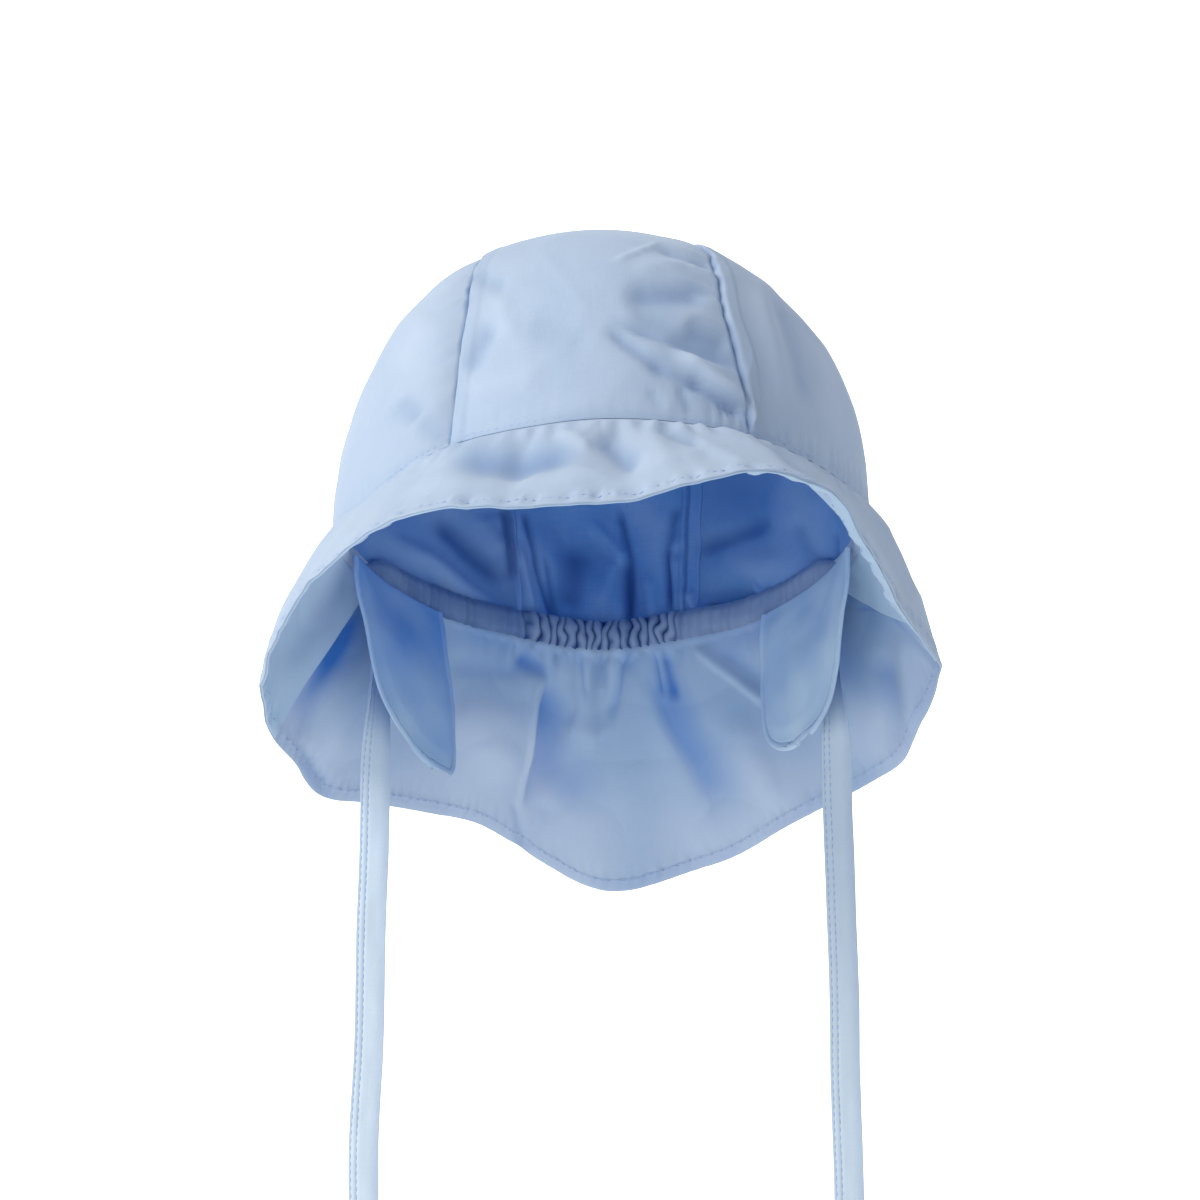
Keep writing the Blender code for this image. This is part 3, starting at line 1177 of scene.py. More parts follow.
    def turn(self, side: Side, along: float) -> float:
        """Give the azimuth, in radians, below a point of a panel seam.

        Args:
            side: The seam's side.
            along: Share from the front, 0, to the nape, 1.

        Returns:
            The azimuth, in radians.
        """
        x = self.seam_x(side, along)
        reach = self.opening.half_depth * (1.0 - (x / self.opening.half_width) ** 2) ** 0.5
        return atan2(x / self.opening.half_width, reach * cos(pi * along) / self.opening.half_depth)

    def lay_side(self, side: Side) -> Callable[[float, float], Spot]:
        """Give the function that lays a side panel, fanned from the rim up to the seam.

        Args:
            side: The panel's side.

        Returns:
            A function of shares upward and along.
        """
        known: dict[float, tuple[float, float, float]] = {}
        first, last = self.turn(side, 0.0), self.turn(side, 1.0)

        def column(share: float) -> tuple[float, float, float]:
            """Work out what one column of the panel needs.

            Args:
                share: Share from the front, 0, to the nape, 1.

            Returns:
                The azimuths at rim and seam, and the climb to the seam.
            """
            turn = self.turn(side, share)
            radius = min(1.0, self.seam_x(side, share) / self.opening.half_width / sin(turn))
            height = (1.0 - radius**self.fullness) ** (1.0 / self.fullness)
            return first + (last - first) * share, turn, asin(min(1.0, height ** (self.fullness / 2.0)))

        def lay(upward: float, share: float) -> Spot:
            """Find a spot on the panel.

            Args:
                upward: Share from the rim to the seam.
                share: Share from the front, 0, to the nape, 1.

            Returns:
                The spot.
            """
            if share not in known:
                known[share] = column(share)
            below, above, climb = known[share]
            eased = 0.4 * upward + 0.6 * sin(pi * upward / 2.0)
            here = cos(eased * climb) ** (2.0 / self.fullness)
            turn = below + (above - below) * eased
            x = side.value * self.opening.half_width * here * sin(turn)
            return self.plan(x, -self.opening.half_depth * here * cos(turn))

        return lay

    def seam_height(self, spot: Spot) -> float:
        """Give the height of a panel seam: crisp where the allowance lies, a soft roll beside it.

        Args:
            spot: A place on the piece.

        Returns:
            The height, outward positive.
        """
        distance = spot.seam * (1.0 if spot.point.x >= 0.0 else -1.0)
        total = -self.groove_depth * bell(distance, self.groove_width)
        soft = bell(distance, self.valley_width)
        if distance > 0.0:
            crisp = smoothstep(distance / self.fold_width)
            total -= self.valley_depth * (1.0 - crisp)
            total += self.allowance_height * crisp * fade_out(distance, self.allowance)
        else:
            total -= self.valley_depth * soft
        tug = ripple(spot.along * 0.25, 0.0078, 3.0 if spot.point.x > 0.0 else 9.0)
        reach = 0.35 if distance > 0.0 else 1.0
        total += self.seam_pucker * tug * reach * bell(distance + 0.003, 0.0045)
        over_top = bell(spot.along - 0.5, 0.26)
        return total * (1.0 - 0.65 * over_top)

    def relief(self, spot: Spot) -> float:
        """Give the height of the crown's seams, puckers, creases and crumples.

        Args:
            spot: A place on the crown.

        Returns:
            The height, outward positive.
        """
        clear = smoothstep(spot.rim / 0.004)
        total = self.seam_height(spot) * (0.2 + 0.8 * clear)
        strength = around(self.puckers, spot.azimuth, "strength")
        rising = smoothstep(spot.rim / 0.0016) * (1.0 - smoothstep(spot.rim / self.pucker_reach))
        arc = self.opening.arc(spot.azimuth)
        total += self.rim_pucker * strength * rising * ripple(arc, self.pucker_wave, 11.0)
        total -= 0.0005 * bell(spot.rim, 0.0009)
        total -= 0.0003 * bell(spot.rim - self.stitch_rise, 0.0006)
        seen = self.view.seen(spot.point)
        front = 1.0 - smoothstep((spot.point.y + 0.01) / 0.03)
        back = smoothstep((spot.point.y - 0.02) / 0.02) * (1.0 - smoothstep((spot.rim - 0.045) / 0.02))
        if front > 0.0:
            total += front * clear * crease_height(self.creases, *seen)
        if back > 0.0:
            total -= back * crease_height(self.inner_creases, *seen)
            total += back * clear * self.inner_crumple * self.swag(spot)
        total += self.soft_crumple * crumple(spot.point, 0.036, 1.0) * clear
        total += self.fine_crumple * crumple(spot.point, 0.012, 5.0) * clear
        total += self.wrinkle_height * wrinkle(spot.point, 0.030, 8.0) * clear
        return total

    def swag(self, spot: Spot) -> float:
        """Give the slanting slack of the crown's back, between about -1 and 1."""
        slant = Vector((spot.point.x + 0.6 * spot.point.z, 0.0, spot.point.z * 0.5 - spot.point.x * 0.2))
        return noise.noise(slant / 0.017 + Vector((4.0, 2.0, 0.0)))

    def groove(self, spot: Spot) -> float:
        """Tell how much painted shade a spot gets in a panel seam or a crease of the front.

        Args:
            spot: A place on the piece.

        Returns:
            The strength, of which the mesh keeps 0 to 1.
        """
        left = 1.0 if spot.point.x < 0.0 else 0.0
        thick = left * bell(spot.along - 0.2, 0.09)
        uneven = (0.00048 + 0.00035 * thick) * (1.0 + 0.5 * ripple(spot.along * 0.25, 0.012, 81.0))
        depth = 0.48 + 0.32 * left + 0.15 * thick + 0.35 * ripple(spot.along * 0.25, 0.009, 83.0)
        sewn = depth * bell(spot.seam, uneven) * smoothstep(spot.rim / 0.003)
        sewn *= 1.0 - 0.5 * smoothstep(spot.along)
        if spot.point.y > self.front_end:
            return sewn
        return sewn - 0.32 * crease_height(self.creases, *self.view.seen(spot.point)) / 0.0014

    def bright(self, spot: Spot) -> float:
        """Tell where a fold of the front catches the light.

        Args:
            spot: A place on the piece.

        Returns:
            The strength, of which the mesh keeps 0 to 1.
        """
        if spot.point.y > self.front_end:
            return 0.0
        return 0.34 * crease_height(self.creases, *self.view.seen(spot.point)) / 0.0016

    def deep(self, spot: Spot) -> float:
        """Tell how much painted shade a spot gets in the folds and slack of the crown's back.

        Args:
            spot: A place on the piece.

        Returns:
            The strength, of which the mesh keeps 0 to 1.
        """
        if spot.point.y < self.front_end:
            return 0.0
        fold = -crease_height(self.inner_creases, *self.view.seen(spot.point)) / 0.0035
        return 1.15 * fold + 0.5 * self.swag(spot)

    def pale(self, spot: Spot) -> float:
        """Tell where light comes through the crown's back.

        Args:
            spot: A place on the piece.

        Returns:
            The strength, of which the mesh keeps 0 to 1.
        """
        if spot.point.y < self.front_end:
            return 0.0
        right = smoothstep((spot.point.x - 0.03) / 0.03) * (1.0 - smoothstep((spot.rim - 0.035) / 0.02))
        patch = 0.5 + 0.9 * crumple(spot.point, 0.018, 71.0)
        left = 0.12 * smoothstep((-spot.point.x - 0.018) / 0.02)
        ridge = crease_height(self.inner_creases, *self.view.seen(spot.point)) / 0.0035
        return min(0.4, 0.18 * right * patch - 0.22 * self.swag(spot) + left + 0.12 * ridge)

    def doubled(self, spot: Spot) -> float:
        """Tell where the seam allowance doubles the cloth, which takes painted shade there."""
        distance = spot.seam * (1.0 if spot.point.x >= 0.0 else -1.0)
        return 0.3 * fade_out(distance, self.allowance) if distance > 0.0 else 0.0

    def lay_allowance(self, side: Side) -> Callable[[float, float], Spot]:
        """Give the function that lays the seam allowance on the crown's inner face.

        Args:
            side: The seam's side.

        Returns:
            A function of shares across and along.
        """

        def lay(across: float, along: float) -> Spot:
            """Find a spot on the strip.

            Args:
                across: Share across the strip.
                along: Share from the front, 0, to the nape, 1.

            Returns:
                The spot.
            """
            share = 0.004 + 0.992 * along
            offset = -0.0012 + (self.allowance + 0.0012) * across
            x = side.value * self.seam_x(side, share) + offset
            reach = self.opening.half_depth * (1.0 - (x / self.opening.half_width) ** 2) ** 0.5
            return self.plan(x, -reach * cos(pi * share))

        return lay

    def build(self, finishes: tuple[bpy.types.Material, bpy.types.Material]) -> None:
        """Build the three panels, their seam allowances and the seam's stitches.

        Args:
            finishes: The outer and inner materials.
        """
        # The panels take painted shade in seams, creases and the back's folds, painted highlights on the
        # front's folds and painted light through the back.
        tints = {"doubled": self.doubled, "groove": self.groove, "bright": self.bright}
        tints |= {"deep": self.deep, "pale": self.pale}
        plans = (
            ("crown_centre", self.lay_centre, 90, 250, 1),
            ("crown_side_right", self.lay_side(Side.RIGHT), 84, 250, -1),
            ("crown_side_left", self.lay_side(Side.LEFT), 84, 250, 1),
        )
        for node, lay, columns, rows, out in plans:
            piece = ClothPiece(f"{node}_panel", lay, columns, rows, out).raise_by(self.relief)
            dress(piece, node, "crown_cotton", self.cloth, finishes, Held.STRETCHED, **tints)
        inner = (finishes[1], finishes[1])
        for side in Side:
            name = f"crown_allowance_{side.name.lower()}"
            strip = ClothPiece(name, self.lay_allowance(side), 14, 250, 1)
            strip.raise_by(lambda spot: self.relief(spot) - self.cloth - 0.0001)
            # The allowance strips take the same painted shade and painted light as the crown's inside.
            tints = {"deep": self.deep, "pale": self.pale}
            dress(strip, None, "crown_cotton", self.allowance_ply, inner, None, **tints)
        ring = [self.at_rim(azimuth / 2.0, self.stitch_rise) for azimuth in range(-360, 361)]
        trim(StitchRow("crown_seam_stitch", self.thread).make([ring]))


def dress(
    piece: ClothPiece,
    node: str | None,
    slot: str,
    wall: float,
    finishes: tuple[bpy.types.Material, bpy.types.Material],
    held: Held | None,
    **tints: Callable[[Spot], float],
) -> bpy.types.Object:
    """Make a laid piece, and let it stand for its CAD node if it has one.

    Args:
        piece: The laid piece.
        node: The CAD node that it replaces, or None for a piece that is sewn to another.
        slot: The name of a material slot; not used.
        wall: Thickness of the cloth.
        finishes: The outer and inner materials.
        held: How the sheet is held, or None for a strip too narrow to be a sheet; not used.
        tints: How strongly each painted tint colours a spot: painted shade, painted highlights and painted
            light through the cloth.

    Returns:
        The finished object.
    """
    item = piece.make(wall, finishes, tints)
    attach(item, BODY)
    if node:
        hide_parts(node)
    width, length, area = piece.cut()
    LOG.info("%s laid, %.0f x %.0f mm", piece.name, width * 1000, length * 1000)
    return item


def trim(item: bpy.types.Object) -> bpy.types.Object:
    """Fasten a small extra piece to the hat.

    Args:
        item: The piece.

    Returns:
        The piece.
    """
    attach(item, BODY)
    LOG.info("%s sewn on", item.name)
    return item


@dataclass
class Skirt:
    """The brim and the neck flap, one flared skirt cut in two pieces."""

    opening: Opening
    view: StudioCamera
    thread: bpy.types.Material
    brim_width: float = 0.046
    flap_length: float = 0.077
    fold: float = 0.006
    ply: float = 0.0005
    ply_gap: float = 0.0002
    hem_ply: float = 0.00015
    facing_curl: float = 0.0016
    brim_hem: float = 0.0032
    flap_hem: float = 0.0042
    turned_in: float = 0.0035
    turned_inset: float = 0.0012
    seam_pucker: float = 0.0009
    hem_pucker: float = 0.0008
    pucker_wave: float = 0.0062
    flap_pucker_wave: float = 0.0031
    nape_pucker: float = 0.0009
    soft_crumple: float = 0.0013
    fine_crumple: float = 0.0003
    wrinkle_height: float = 0.0004
    brim_reach: float = 84.0
    brim_crease: float = 0.0014
    left_join: tuple[float, float] = (-116.0, -106.0)
    right_join: tuple[float, float] = (116.0, 84.0)
    stations: tuple[Station, ...] = (
        Station(-170, 0.76, 74, 60),
        Station(-158, 0.44, 74, 58),
        Station(-148, 0.42, 74, 58),
        Station(-138, 0.50, 74, 58),
        Station(-128, 0.60, 72, 60),
        Station(-118, 0.44, 66, 62),
        Station(-107, 0.34, 56, 72),
        Station(-95, 0.12, 46, 82),
        Station(-75, 0.02, 44, 84),
        Station(-60, 0.02, 42, 74),
        Station(-50, 0.01, 42, 59),
        Station(-40, 0.0, 42, 46),
        Station(-30, 0.0, 40, 34),
        Station(-20, 0.0, 39, 33),
        Station(-8, 0.0, 43, 37),
        Station(2, 0.0, 43, 37),
        Station(11, 0.0, 36, 30),
        Station(20, 0.0, 28, 24),
        Station(30, 0.0, 28, 30),
        Station(40, 0.0, 36, 54),
        Station(50, 0.0, 46, 68),
        Station(60, 0.0, 50, 77),
        Station(75, 0.02, 50, 84),
        Station(92, 0.05, 50, 80),
        Station(105, 0.18, 62, 64),
        Station(118, 0.36, 70, 58),
        Station(130, 0.42, 74, 60),
        Station(145, 0.54, 76, 58),
        Station(160, 0.82, 76, 60),
        Station(172, 0.97, 76, 60),
        Station(180, 1.00, 74, 60),
    )
    folds: tuple[SkirtFold, ...] = (
        SkirtFold(-172, -166, 6, 1.0),
        SkirtFold(-163, -150, 8, -0.7),
        SkirtFold(-150, -130, 10, 0.6),
        SkirtFold(-128, -113, 8, -0.6),
        SkirtFold(171, 166, 7, 0.7),
        SkirtFold(158, 146, 8, -0.8),
        SkirtFold(146, 128, 9, 0.6),
        SkirtFold(122, 110, 8, -0.5),
    )
    brim_folds: tuple[SkirtFold, ...] = (
        SkirtFold(-36, -30, 4.0, -0.26),
        SkirtFold(-26, -20, 3.0, 0.16),
        SkirtFold(-15, -12, 2.6, -0.30),
        SkirtFold(-5, -3, 3.0, 0.16),
        SkirtFold(3, 4, 2.6, -0.24),
        SkirtFold(9, 10, 2.0, 0.14),
        SkirtFold(24, 27, 4.0, 0.20),
        SkirtFold(33, 36, 3.0, -0.16),
        SkirtFold(-62, -58, 6.0, 0.16),
        SkirtFold(-48, -46, 4.0, 0.14),
        SkirtFold(56, 60, 6.0, -0.16),
        SkirtFold(72, 74, 5.0, 0.14),
    )
    flap_creases: tuple[Crease, ...] = creases_from(
        (-188, -420, -238, -731, 9, 15),
        (-154, -409, -212, -722, 28, -29, 0.45),
        (-116, -455, -157, -687, 34, -10),
        (-165, -745, -238, -861, 30, -12),
        (-441, -351, -209, -362, 34, -9),
        (-238, -322, -157, -374, 24, -20),
        (81, -310, 23, -499, 24, -18),
        (-87, -508, -6, -557, 34, 14),
        (133, -380, 325, -763, 60, -24, 0.6),
        (188, -316, 209, -441, 16, -20),
        (154, -316, 171, -426, 13, -14),
        (284, -305, 473, -455, 16, 20, 0.3),
        (342, -310, 470, -397, 30, -12),
        (-426, -470, -238, -629, 80, 24),
        (-252, -745, -232, -861, 15, -14),
        (-78, -629, -122, -948, 60, -8),
        (-716, -206, -916, -508, 28, -20),
        (-641, -299, -800, -600, 30, 16),
        (-766, -281, -876, -557, 30, -18),
        (748, -183, 841, -191, 8, -10),
        (835, -188, 980, -362, 8, -10),
        (821, -339, 850, -571, 40, -18),
        (879, -281, 908, -513, 30, 16),
        (400, -513, 516, -745, 45, 16),
        (-876, -586, -789, -716, 25, -14),
        (-122, -745, -6, -919, 80, 10),
        (-64, -310, -49, -426, 12, -12),
        (0, -310, -6, -397, 10, -10),
    )
    brim_creases: tuple[Crease, ...] = creases_from(
        (-406, 220, -90, 235, 44, -22),
        (0, 290, 100, 218, 34, -15),
        (-122, 305, -35, 264, 20, 9),
        (154, 322, 284, 276, 16, -9),
        (284, 281, 415, 212, 20, 8),
        (-435, 299, -296, 333, 16, -8),
        (-528, 154, 110, 177, 22, 7),
        (-586, 212, -499, 255, 30, 8),
        (110, 212, 284, 235, 30, 7),
        (-745, -93, -925, -362, 40, 18),
        (-986, -49, -1021, -281, 30, -10),
        (516, 255, 690, 67, 26, -9),
    )
    seam_puckers: tuple[Pucker, ...] = (
        Pucker(-150, 0.4),
        Pucker(-60, 0.25),
        Pucker(-31, 0.8),
        Pucker(-22, 0.4),
        Pucker(-15, 0.9),
        Pucker(-4, 0.35),
        Pucker(6, 0.8),
        Pucker(14, 1.3),
        Pucker(24, 0.9),
        Pucker(35, 0.35),
        Pucker(60, 0.4),
        Pucker(100, 0.3),
        Pucker(150, 0.4),
    )
    hem_puckers: tuple[Pucker, ...] = (
        Pucker(-165, 0.5),
        Pucker(-135, 0.9),
        Pucker(-118, 1.2),
        Pucker(-106, 1.1),
        Pucker(-80, 0.5),
        Pucker(-45, 0.8),
        Pucker(0, 1.0),
        Pucker(40, 0.9),
        Pucker(80, 0.5),
        Pucker(120, 0.5),
        Pucker(160, 0.7),
    )

    def length(self, azimuth: float) -> float:
        """Give the skirt's length from the crown seam to the hem."""
        longer = self.flap_length - self.brim_width
        return self.brim_width + around(self.stations, azimuth, "length") * longer

    def fold_depth(self, azimuth: float, down: float) -> float:
        """Tell how far the neck flap's broad folds stand out of its plain shape.

        Args:
            azimuth: Degrees from the front.
            down: 0 at the crown seam and 1 at the hem.

        Returns:
            The height, outward positive.
        """
        total = 0.0
        for row in self.folds:
            centre = row.azimuth_top + (row.azimuth_hem - row.azimuth_top) * down
            total += row.depth * bell(wrap(azimuth - centre), row.half_angle)
        return self.fold * total * smoothstep(down * 1.6)

    def spot(self, azimuth: float, down: float, join: float = 1.0) -> Spot:
        """Find a place on the skirt.

        Args:
            azimuth: Degrees from the front.
            down: 0 at the crown seam and 1 at the hem; below 0 the cloth turns up inside the crown.
            join: Distance from the nearest seam between brim and neck flap.

        Returns:
            The spot.
        """
        length = self.length(azimuth)
        away = self.opening.outward(azimuth)
        gathered = away * self.opening.nape_ripple(azimuth) * (1.0 - max(0.0, down)) ** 3
        if down < 0.0:
            turned = -down * length
            inset = self.turned_inset * smoothstep(turned / 0.0008)
            point = self.opening.rim(azimuth, inset, turned) + gathered
            return Spot(point, None, azimuth, join, 0.0, length, 0.0)
        top = radians(around(self.stations, azimuth, "slope_top"))
        hem = radians(around(self.stations, azimuth, "slope_hem"))
        mean = top + (hem - top) * down / 2.0
        run = length * down
        across = away * sin(mean) + Vector((0.0, 0.0, cos(mean)))
        fall = run * (away * cos(mean) - Vector((0.0, 0.0, sin(mean))))
        point = self.opening.rim(azimuth) + fall + gathered + across * self.fold_depth(azimuth, down)
        return Spot(point, None, azimuth, join, run, length - run, down)

    def lay_between(self, first: tuple[float, float], last: tuple[float, float]) -> Callable[..., Spot]:
        """Give a function that lays the skirt from one join to another.

        Args:
            first: The first join's azimuths at the crown seam and at the hem.
            last: The last join's azimuths.

        Returns:
            A function of shares along and down, with an optional share at which it starts.
        """

        def lay(along: float, share: float, start: float | None = None) -> Spot:
            """Find a spot on the piece.

            Args:
                along: Share from the first join to the last.
                share: Share from the piece's start to its hem.
                start: Where it starts, or None for the edge turned up inside.

            Returns:
                The spot.
            """
            top = (first[0] + (last[0] - first[0]) * along, first[1] + (last[1] - first[1]) * along)
            length = self.length(top[1])
            begin = -self.turned_in / length if start is None else start
            down = begin + (1.0 - begin) * share
            steer = max(0.0, down)
            here = (
                first[0] + (first[1] - first[0]) * steer,
                last[0] + (last[1] - last[0]) * steer,
            )
            azimuth = here[0] + (here[1] - here[0]) * along
            join = min(along, 1.0 - along) * radians(here[1] - here[0]) * self.opening.half_width
            return self.spot(azimuth, down, join)

        return lay

    def relief(self, hem: float, wave: float, folds: tuple[SkirtFold, ...]) -> Callable[[Spot], float]:
        """Give the height of the skirt's seam, hem, puckers, folds and crumples.

        Args:
            hem: Distance of the hem's stitches from the edge.
            wave: Distance between the hem's puckers.
            folds: Extra soft folds.

        Returns:
            A function of a spot.
        """

        def height(spot: Spot) -> float:
            """Add up the relief at a spot.

            Args:
                spot: A place on the piece.

            Returns:
                The height, outward positive.
            """
            arc = self.opening.arc(spot.azimuth % 360.0)
            clear = smoothstep(spot.rim / 0.004)
            total = -0.0005 * bell(spot.rim, 0.0009)
            tug = smoothstep(spot.rim / 0.0018) * (1.0 - smoothstep(spot.rim / 0.013))
            strength = around(self.seam_puckers, spot.azimuth, "strength")
            total += self.seam_pucker * strength * tug * ripple(arc, 0.0068, 21.0)
            strength = around(self.hem_puckers, spot.azimuth, "strength")
            near_hem = bell(spot.edge - hem, 0.0030) * smoothstep(spot.edge / 0.0008)
            total += self.hem_pucker * strength * near_hem * ripple(arc, wave, 31.0)
            fine = bell(spot.edge - hem, 0.0016)
            total += 0.00028 * strength * fine * ripple(arc, wave * 0.42, 35.0)
            total -= 0.00012 * bell(spot.edge - hem, 0.0007)
            nape = 1.0 - smoothstep((abs(wrap(spot.azimuth - 183.0)) - 14.0) / 12.0)
            if nape > 0.0:
                short = smoothstep(spot.rim / 0.001) * (1.0 - smoothstep(spot.rim / 0.009))
                total += self.nape_pucker * nape * short * ripple(arc, 0.0050, 37.0)
                reach = smoothstep(spot.rim / 0.004) * (1.0 - smoothstep(spot.rim / 0.035))
                total += self.nape_pucker * nape * reach * ripple(arc, 0.0135, 39.0)
            if abs(spot.azimuth) > self.brim_reach:
                free = smoothstep(spot.seam / 0.008) * clear
                total -= free * crease_height(self.flap_creases, *self.view.seen(spot.point))
            else:
                total += clear * crease_height(self.brim_creases, *self.view.seen(spot.point))
            for row in folds:
                centre = row.azimuth_top + (row.azimuth_hem - row.azimuth_top) * spot.along
                waist = smoothstep(spot.along * 5.0) * (1.0 - 0.7 * smoothstep((spot.along - 0.55) / 0.45))
                waist *= smoothstep(spot.seam / 0.01)
                total += self.fold * row.depth * waist * bell(wrap(spot.azimuth - centre), row.half_angle)
            total += self.soft_crumple * crumple(spot.point, 0.036, 41.0) * clear
            total += self.fine_crumple * crumple(spot.point, 0.012, 47.0) * clear
            total += self.wrinkle_height * wrinkle(spot.point, 0.026, 49.0) * clear
            return total

        return height

    def dent(self, spot: Spot) -> float:
        """Give the painted shade in a dent of the brim."""
        return -0.42 * crease_height(self.brim_creases, *self.view.seen(spot.point)) / self.brim_crease

    def crest(self, spot: Spot) -> float:
        """Tell how high on a fold of the brim a spot lies, for a painted highlight on the brim and painted
        shade on its facing.
        """
        return 0.26 * crease_height(self.brim_creases, *self.view.seen(spot.point)) / self.brim_crease

    def shade(self, spot: Spot) -> float:
        """Tell how much painted shade a spot gets in the neck flap's folds, by its seams and at its sides.

        Args:
            spot: A place on the piece.

        Returns:
            The strength, of which the mesh keeps 0 to 1.
        """
        fold = -crease_height(self.flap_creases, *self.view.seen(spot.point)) / 0.0040
        sewn = 0.30 * (1.0 - smoothstep(spot.rim / 0.012))
        side = 0.5 * smoothstep((abs(spot.point.x) - 0.045) / 0.02) * (1.0 - smoothstep(spot.along / 0.8))
        cloud = 0.35 * crumple(spot.point, 0.024, 53.0)
        join = 0.25 * bell(spot.seam - 0.003, 0.0045) if spot.point.x < 0.0 else 0.0
        return fold + sewn + side + cloud + join - 0.05

    def hem_shade(self, spot: Spot) -> float:
        """Tell how much painted shade a spot of the hem gets, most between two puckers.

        Args:
            spot: A place on the piece.

        Returns:
            The strength, of which the mesh keeps 0 to 1.
        """
        arc = self.opening.arc(spot.azimuth % 360.0)
        strength = around(self.hem_puckers, spot.azimuth, "strength")
        return 0.26 - 0.24 * strength * ripple(arc, self.flap_pucker_wave, 31.0)

    def glow(self, spot: Spot) -> float:
        """Tell where light comes through the neck flap.

        Args:
            spot: A place on the piece.

        Returns:
            The strength, of which the mesh keeps 0 to 1.
        """
        low = smoothstep((spot.along - 0.35) / 0.5)
        left = 0.5 * smoothstep((-spot.point.x - 0.01) / 0.02)
        cloud = 0.35 * crumple(spot.point, 0.020, 57.0)
        ridge = 0.10 * crease_height(self.flap_creases, *self.view.seen(spot.point)) / 0.002
        middle_left = 0.30 * bell(spot.point.x + 0.033, 0.016) * smoothstep((spot.along - 0.25) / 0.25)
        return min(0.75, 0.60 * low + 0.20 * left * low + cloud * low + ridge + 3.0 * middle_left)

    def inner(self, relief: Callable[[Spot], float], away: float, curl: float) -> Callable[[Spot], float]:
        """Set a relief inward, so that an inner ply lies under an outer one.

        Args:
            relief: The outer ply's relief.
            away: How far inward.
            curl: How much further the ply's right edge curls inward.

        Returns:
            The inner ply's relief.
        """

        def height(spot: Spot) -> float:
            """Give the inner ply's height.

            Args:
                spot: A place on the piece.

            Returns:
                The height, outward positive.
            """
            rolled = bell(spot.azimuth - 52.0, 26.0) * bell(spot.edge - 0.0035, 0.0030)
            rolled *= smoothstep(spot.edge / 0.0018)
            apart = self.ply_gap * smoothstep(spot.edge / 0.002)
            return relief(spot) - (away + apart) * smoothstep(spot.rim / 0.002) - curl * rolled

        return height

    def build(
        self,
        brim_finishes: tuple[bpy.types.Material, bpy.types.Material],
        flap_finishes: tuple[bpy.types.Material, bpy.types.Material],
    ) -> None:
        """Build the brim and its facing, the neck flap and its hem, and their stitches.

        Args:
            brim_finishes: The brim's outer and inner materials.
            flap_finishes: The flap's outer and inner materials.
        """
        lay_brim = self.lay_between(self.left_join, self.right_join)
        around_back = (self.left_join[0] + 360.0, self.left_join[1] + 360.0)
        lay_flap = self.lay_between(self.right_join, around_back)
        brim_relief = self.relief(self.brim_hem, self.pucker_wave, self.brim_folds)
        flap_relief = self.relief(self.flap_hem, self.flap_pucker_wave, ())
        brim = ClothPiece("brim_cloth", lay_brim, 700, 56, -1).raise_by(brim_relief)
        outer = (brim_finishes[0], brim_finishes[0])
        # The brim takes painted shade in its dents and painted highlights on its folds.
        tints = {"groove": self.dent, "bright": self.crest}
        dress(brim, "brim", "brim_cotton", self.ply, outer, Held.STRETCHED, **tints)
        facing = ClothPiece("brim_facing", lambda u, v: lay_brim(u, v * 0.998, 0.01), 360, 40, -1)
        facing.raise_by(self.inner(brim_relief, self.ply, self.facing_curl))
        under = (brim_finishes[1], brim_finishes[1])
        # The facing takes painted shade under the brim's raised folds.
        dress(facing, None, "brim_cotton", self.ply, under, Held.STRETCHED, groove=self.crest)
        flap = ClothPiece("neck_flap_cloth", lay_flap, 400, 84, -1).raise_by(flap_relief)
        # The neck flap's inside takes painted shade in its folds and painted light where light comes through.
        tints = {"deep": self.shade, "pale": self.glow}
        dress(flap, "neck_flap", "flap_cotton", self.ply, flap_finishes, Held.HUNG, **tints)
        hem = ClothPiece("neck_flap_hem", lambda u, v: self.hem_spot(lay_flap, u, v), 400, 8, -1)
        hem.raise_by(self.inner(flap_relief, self.ply - 0.0002, 0.0))
        turned = (flap_finishes[1], flap_finishes[1])
        # The turned hem takes painted shade and painted light through the cloth.
        dress(hem, None, "flap_cotton", self.hem_ply, turned, None, pale=self.glow, deep=self.hem_shade)
        self.sew(brim, self.brim_hem, "brim_topstitch", 0.0)
        self.sew(facing, self.brim_hem, "brim_facing_stitch", self.ply)
        self.sew(flap, self.flap_hem - 0.0006, "flap_hem_stitch", 0.0)
        self.sew(hem, self.flap_hem - 0.0006, "flap_hem_inner_stitch", self.hem_ply)

    def hem_spot(self, lay: Callable[..., Spot], along: float, share: float) -> Spot:
        """Find a place on the neck flap's turned hem."""
        azimuth = lay(along, 1.0).azimuth
        return lay(along, 0.02 + 0.975 * share, 1.0 - self.flap_hem / self.length(azimuth))

    def sew(self, piece: ClothPiece, distance: float, name: str, inward: float) -> None:
        """Sew a row of stitches at a constant distance from a piece's hem.

        Args:
            piece: The brim or the neck flap, or one of their inner plies.
            distance: How far from the hem.
            name: The row's name.
            inward: How far inside the piece's outer face the stitches lie, or 0 for the outer face.
        """
        places = []
        for i in range(piece.columns + 1):
            column = [row[i] for row in piece.spots]
            below = next((j for j, spot in enumerate(column) if spot.edge <= distance), piece.rows)
            above = max(0, below - 1)
            span = column[above].edge - column[below].edge
            share = (column[above].edge - distance) / span if span > 0.0 else 0.0
            point, normal = piece.at(i / piece.columns, (above + min(1.0, max(0.0, share))) / piece.rows)
            places.append((point - normal * inward, -normal) if inward else (point, normal))
        trim(StitchRow(name, self.thread).make([places]))


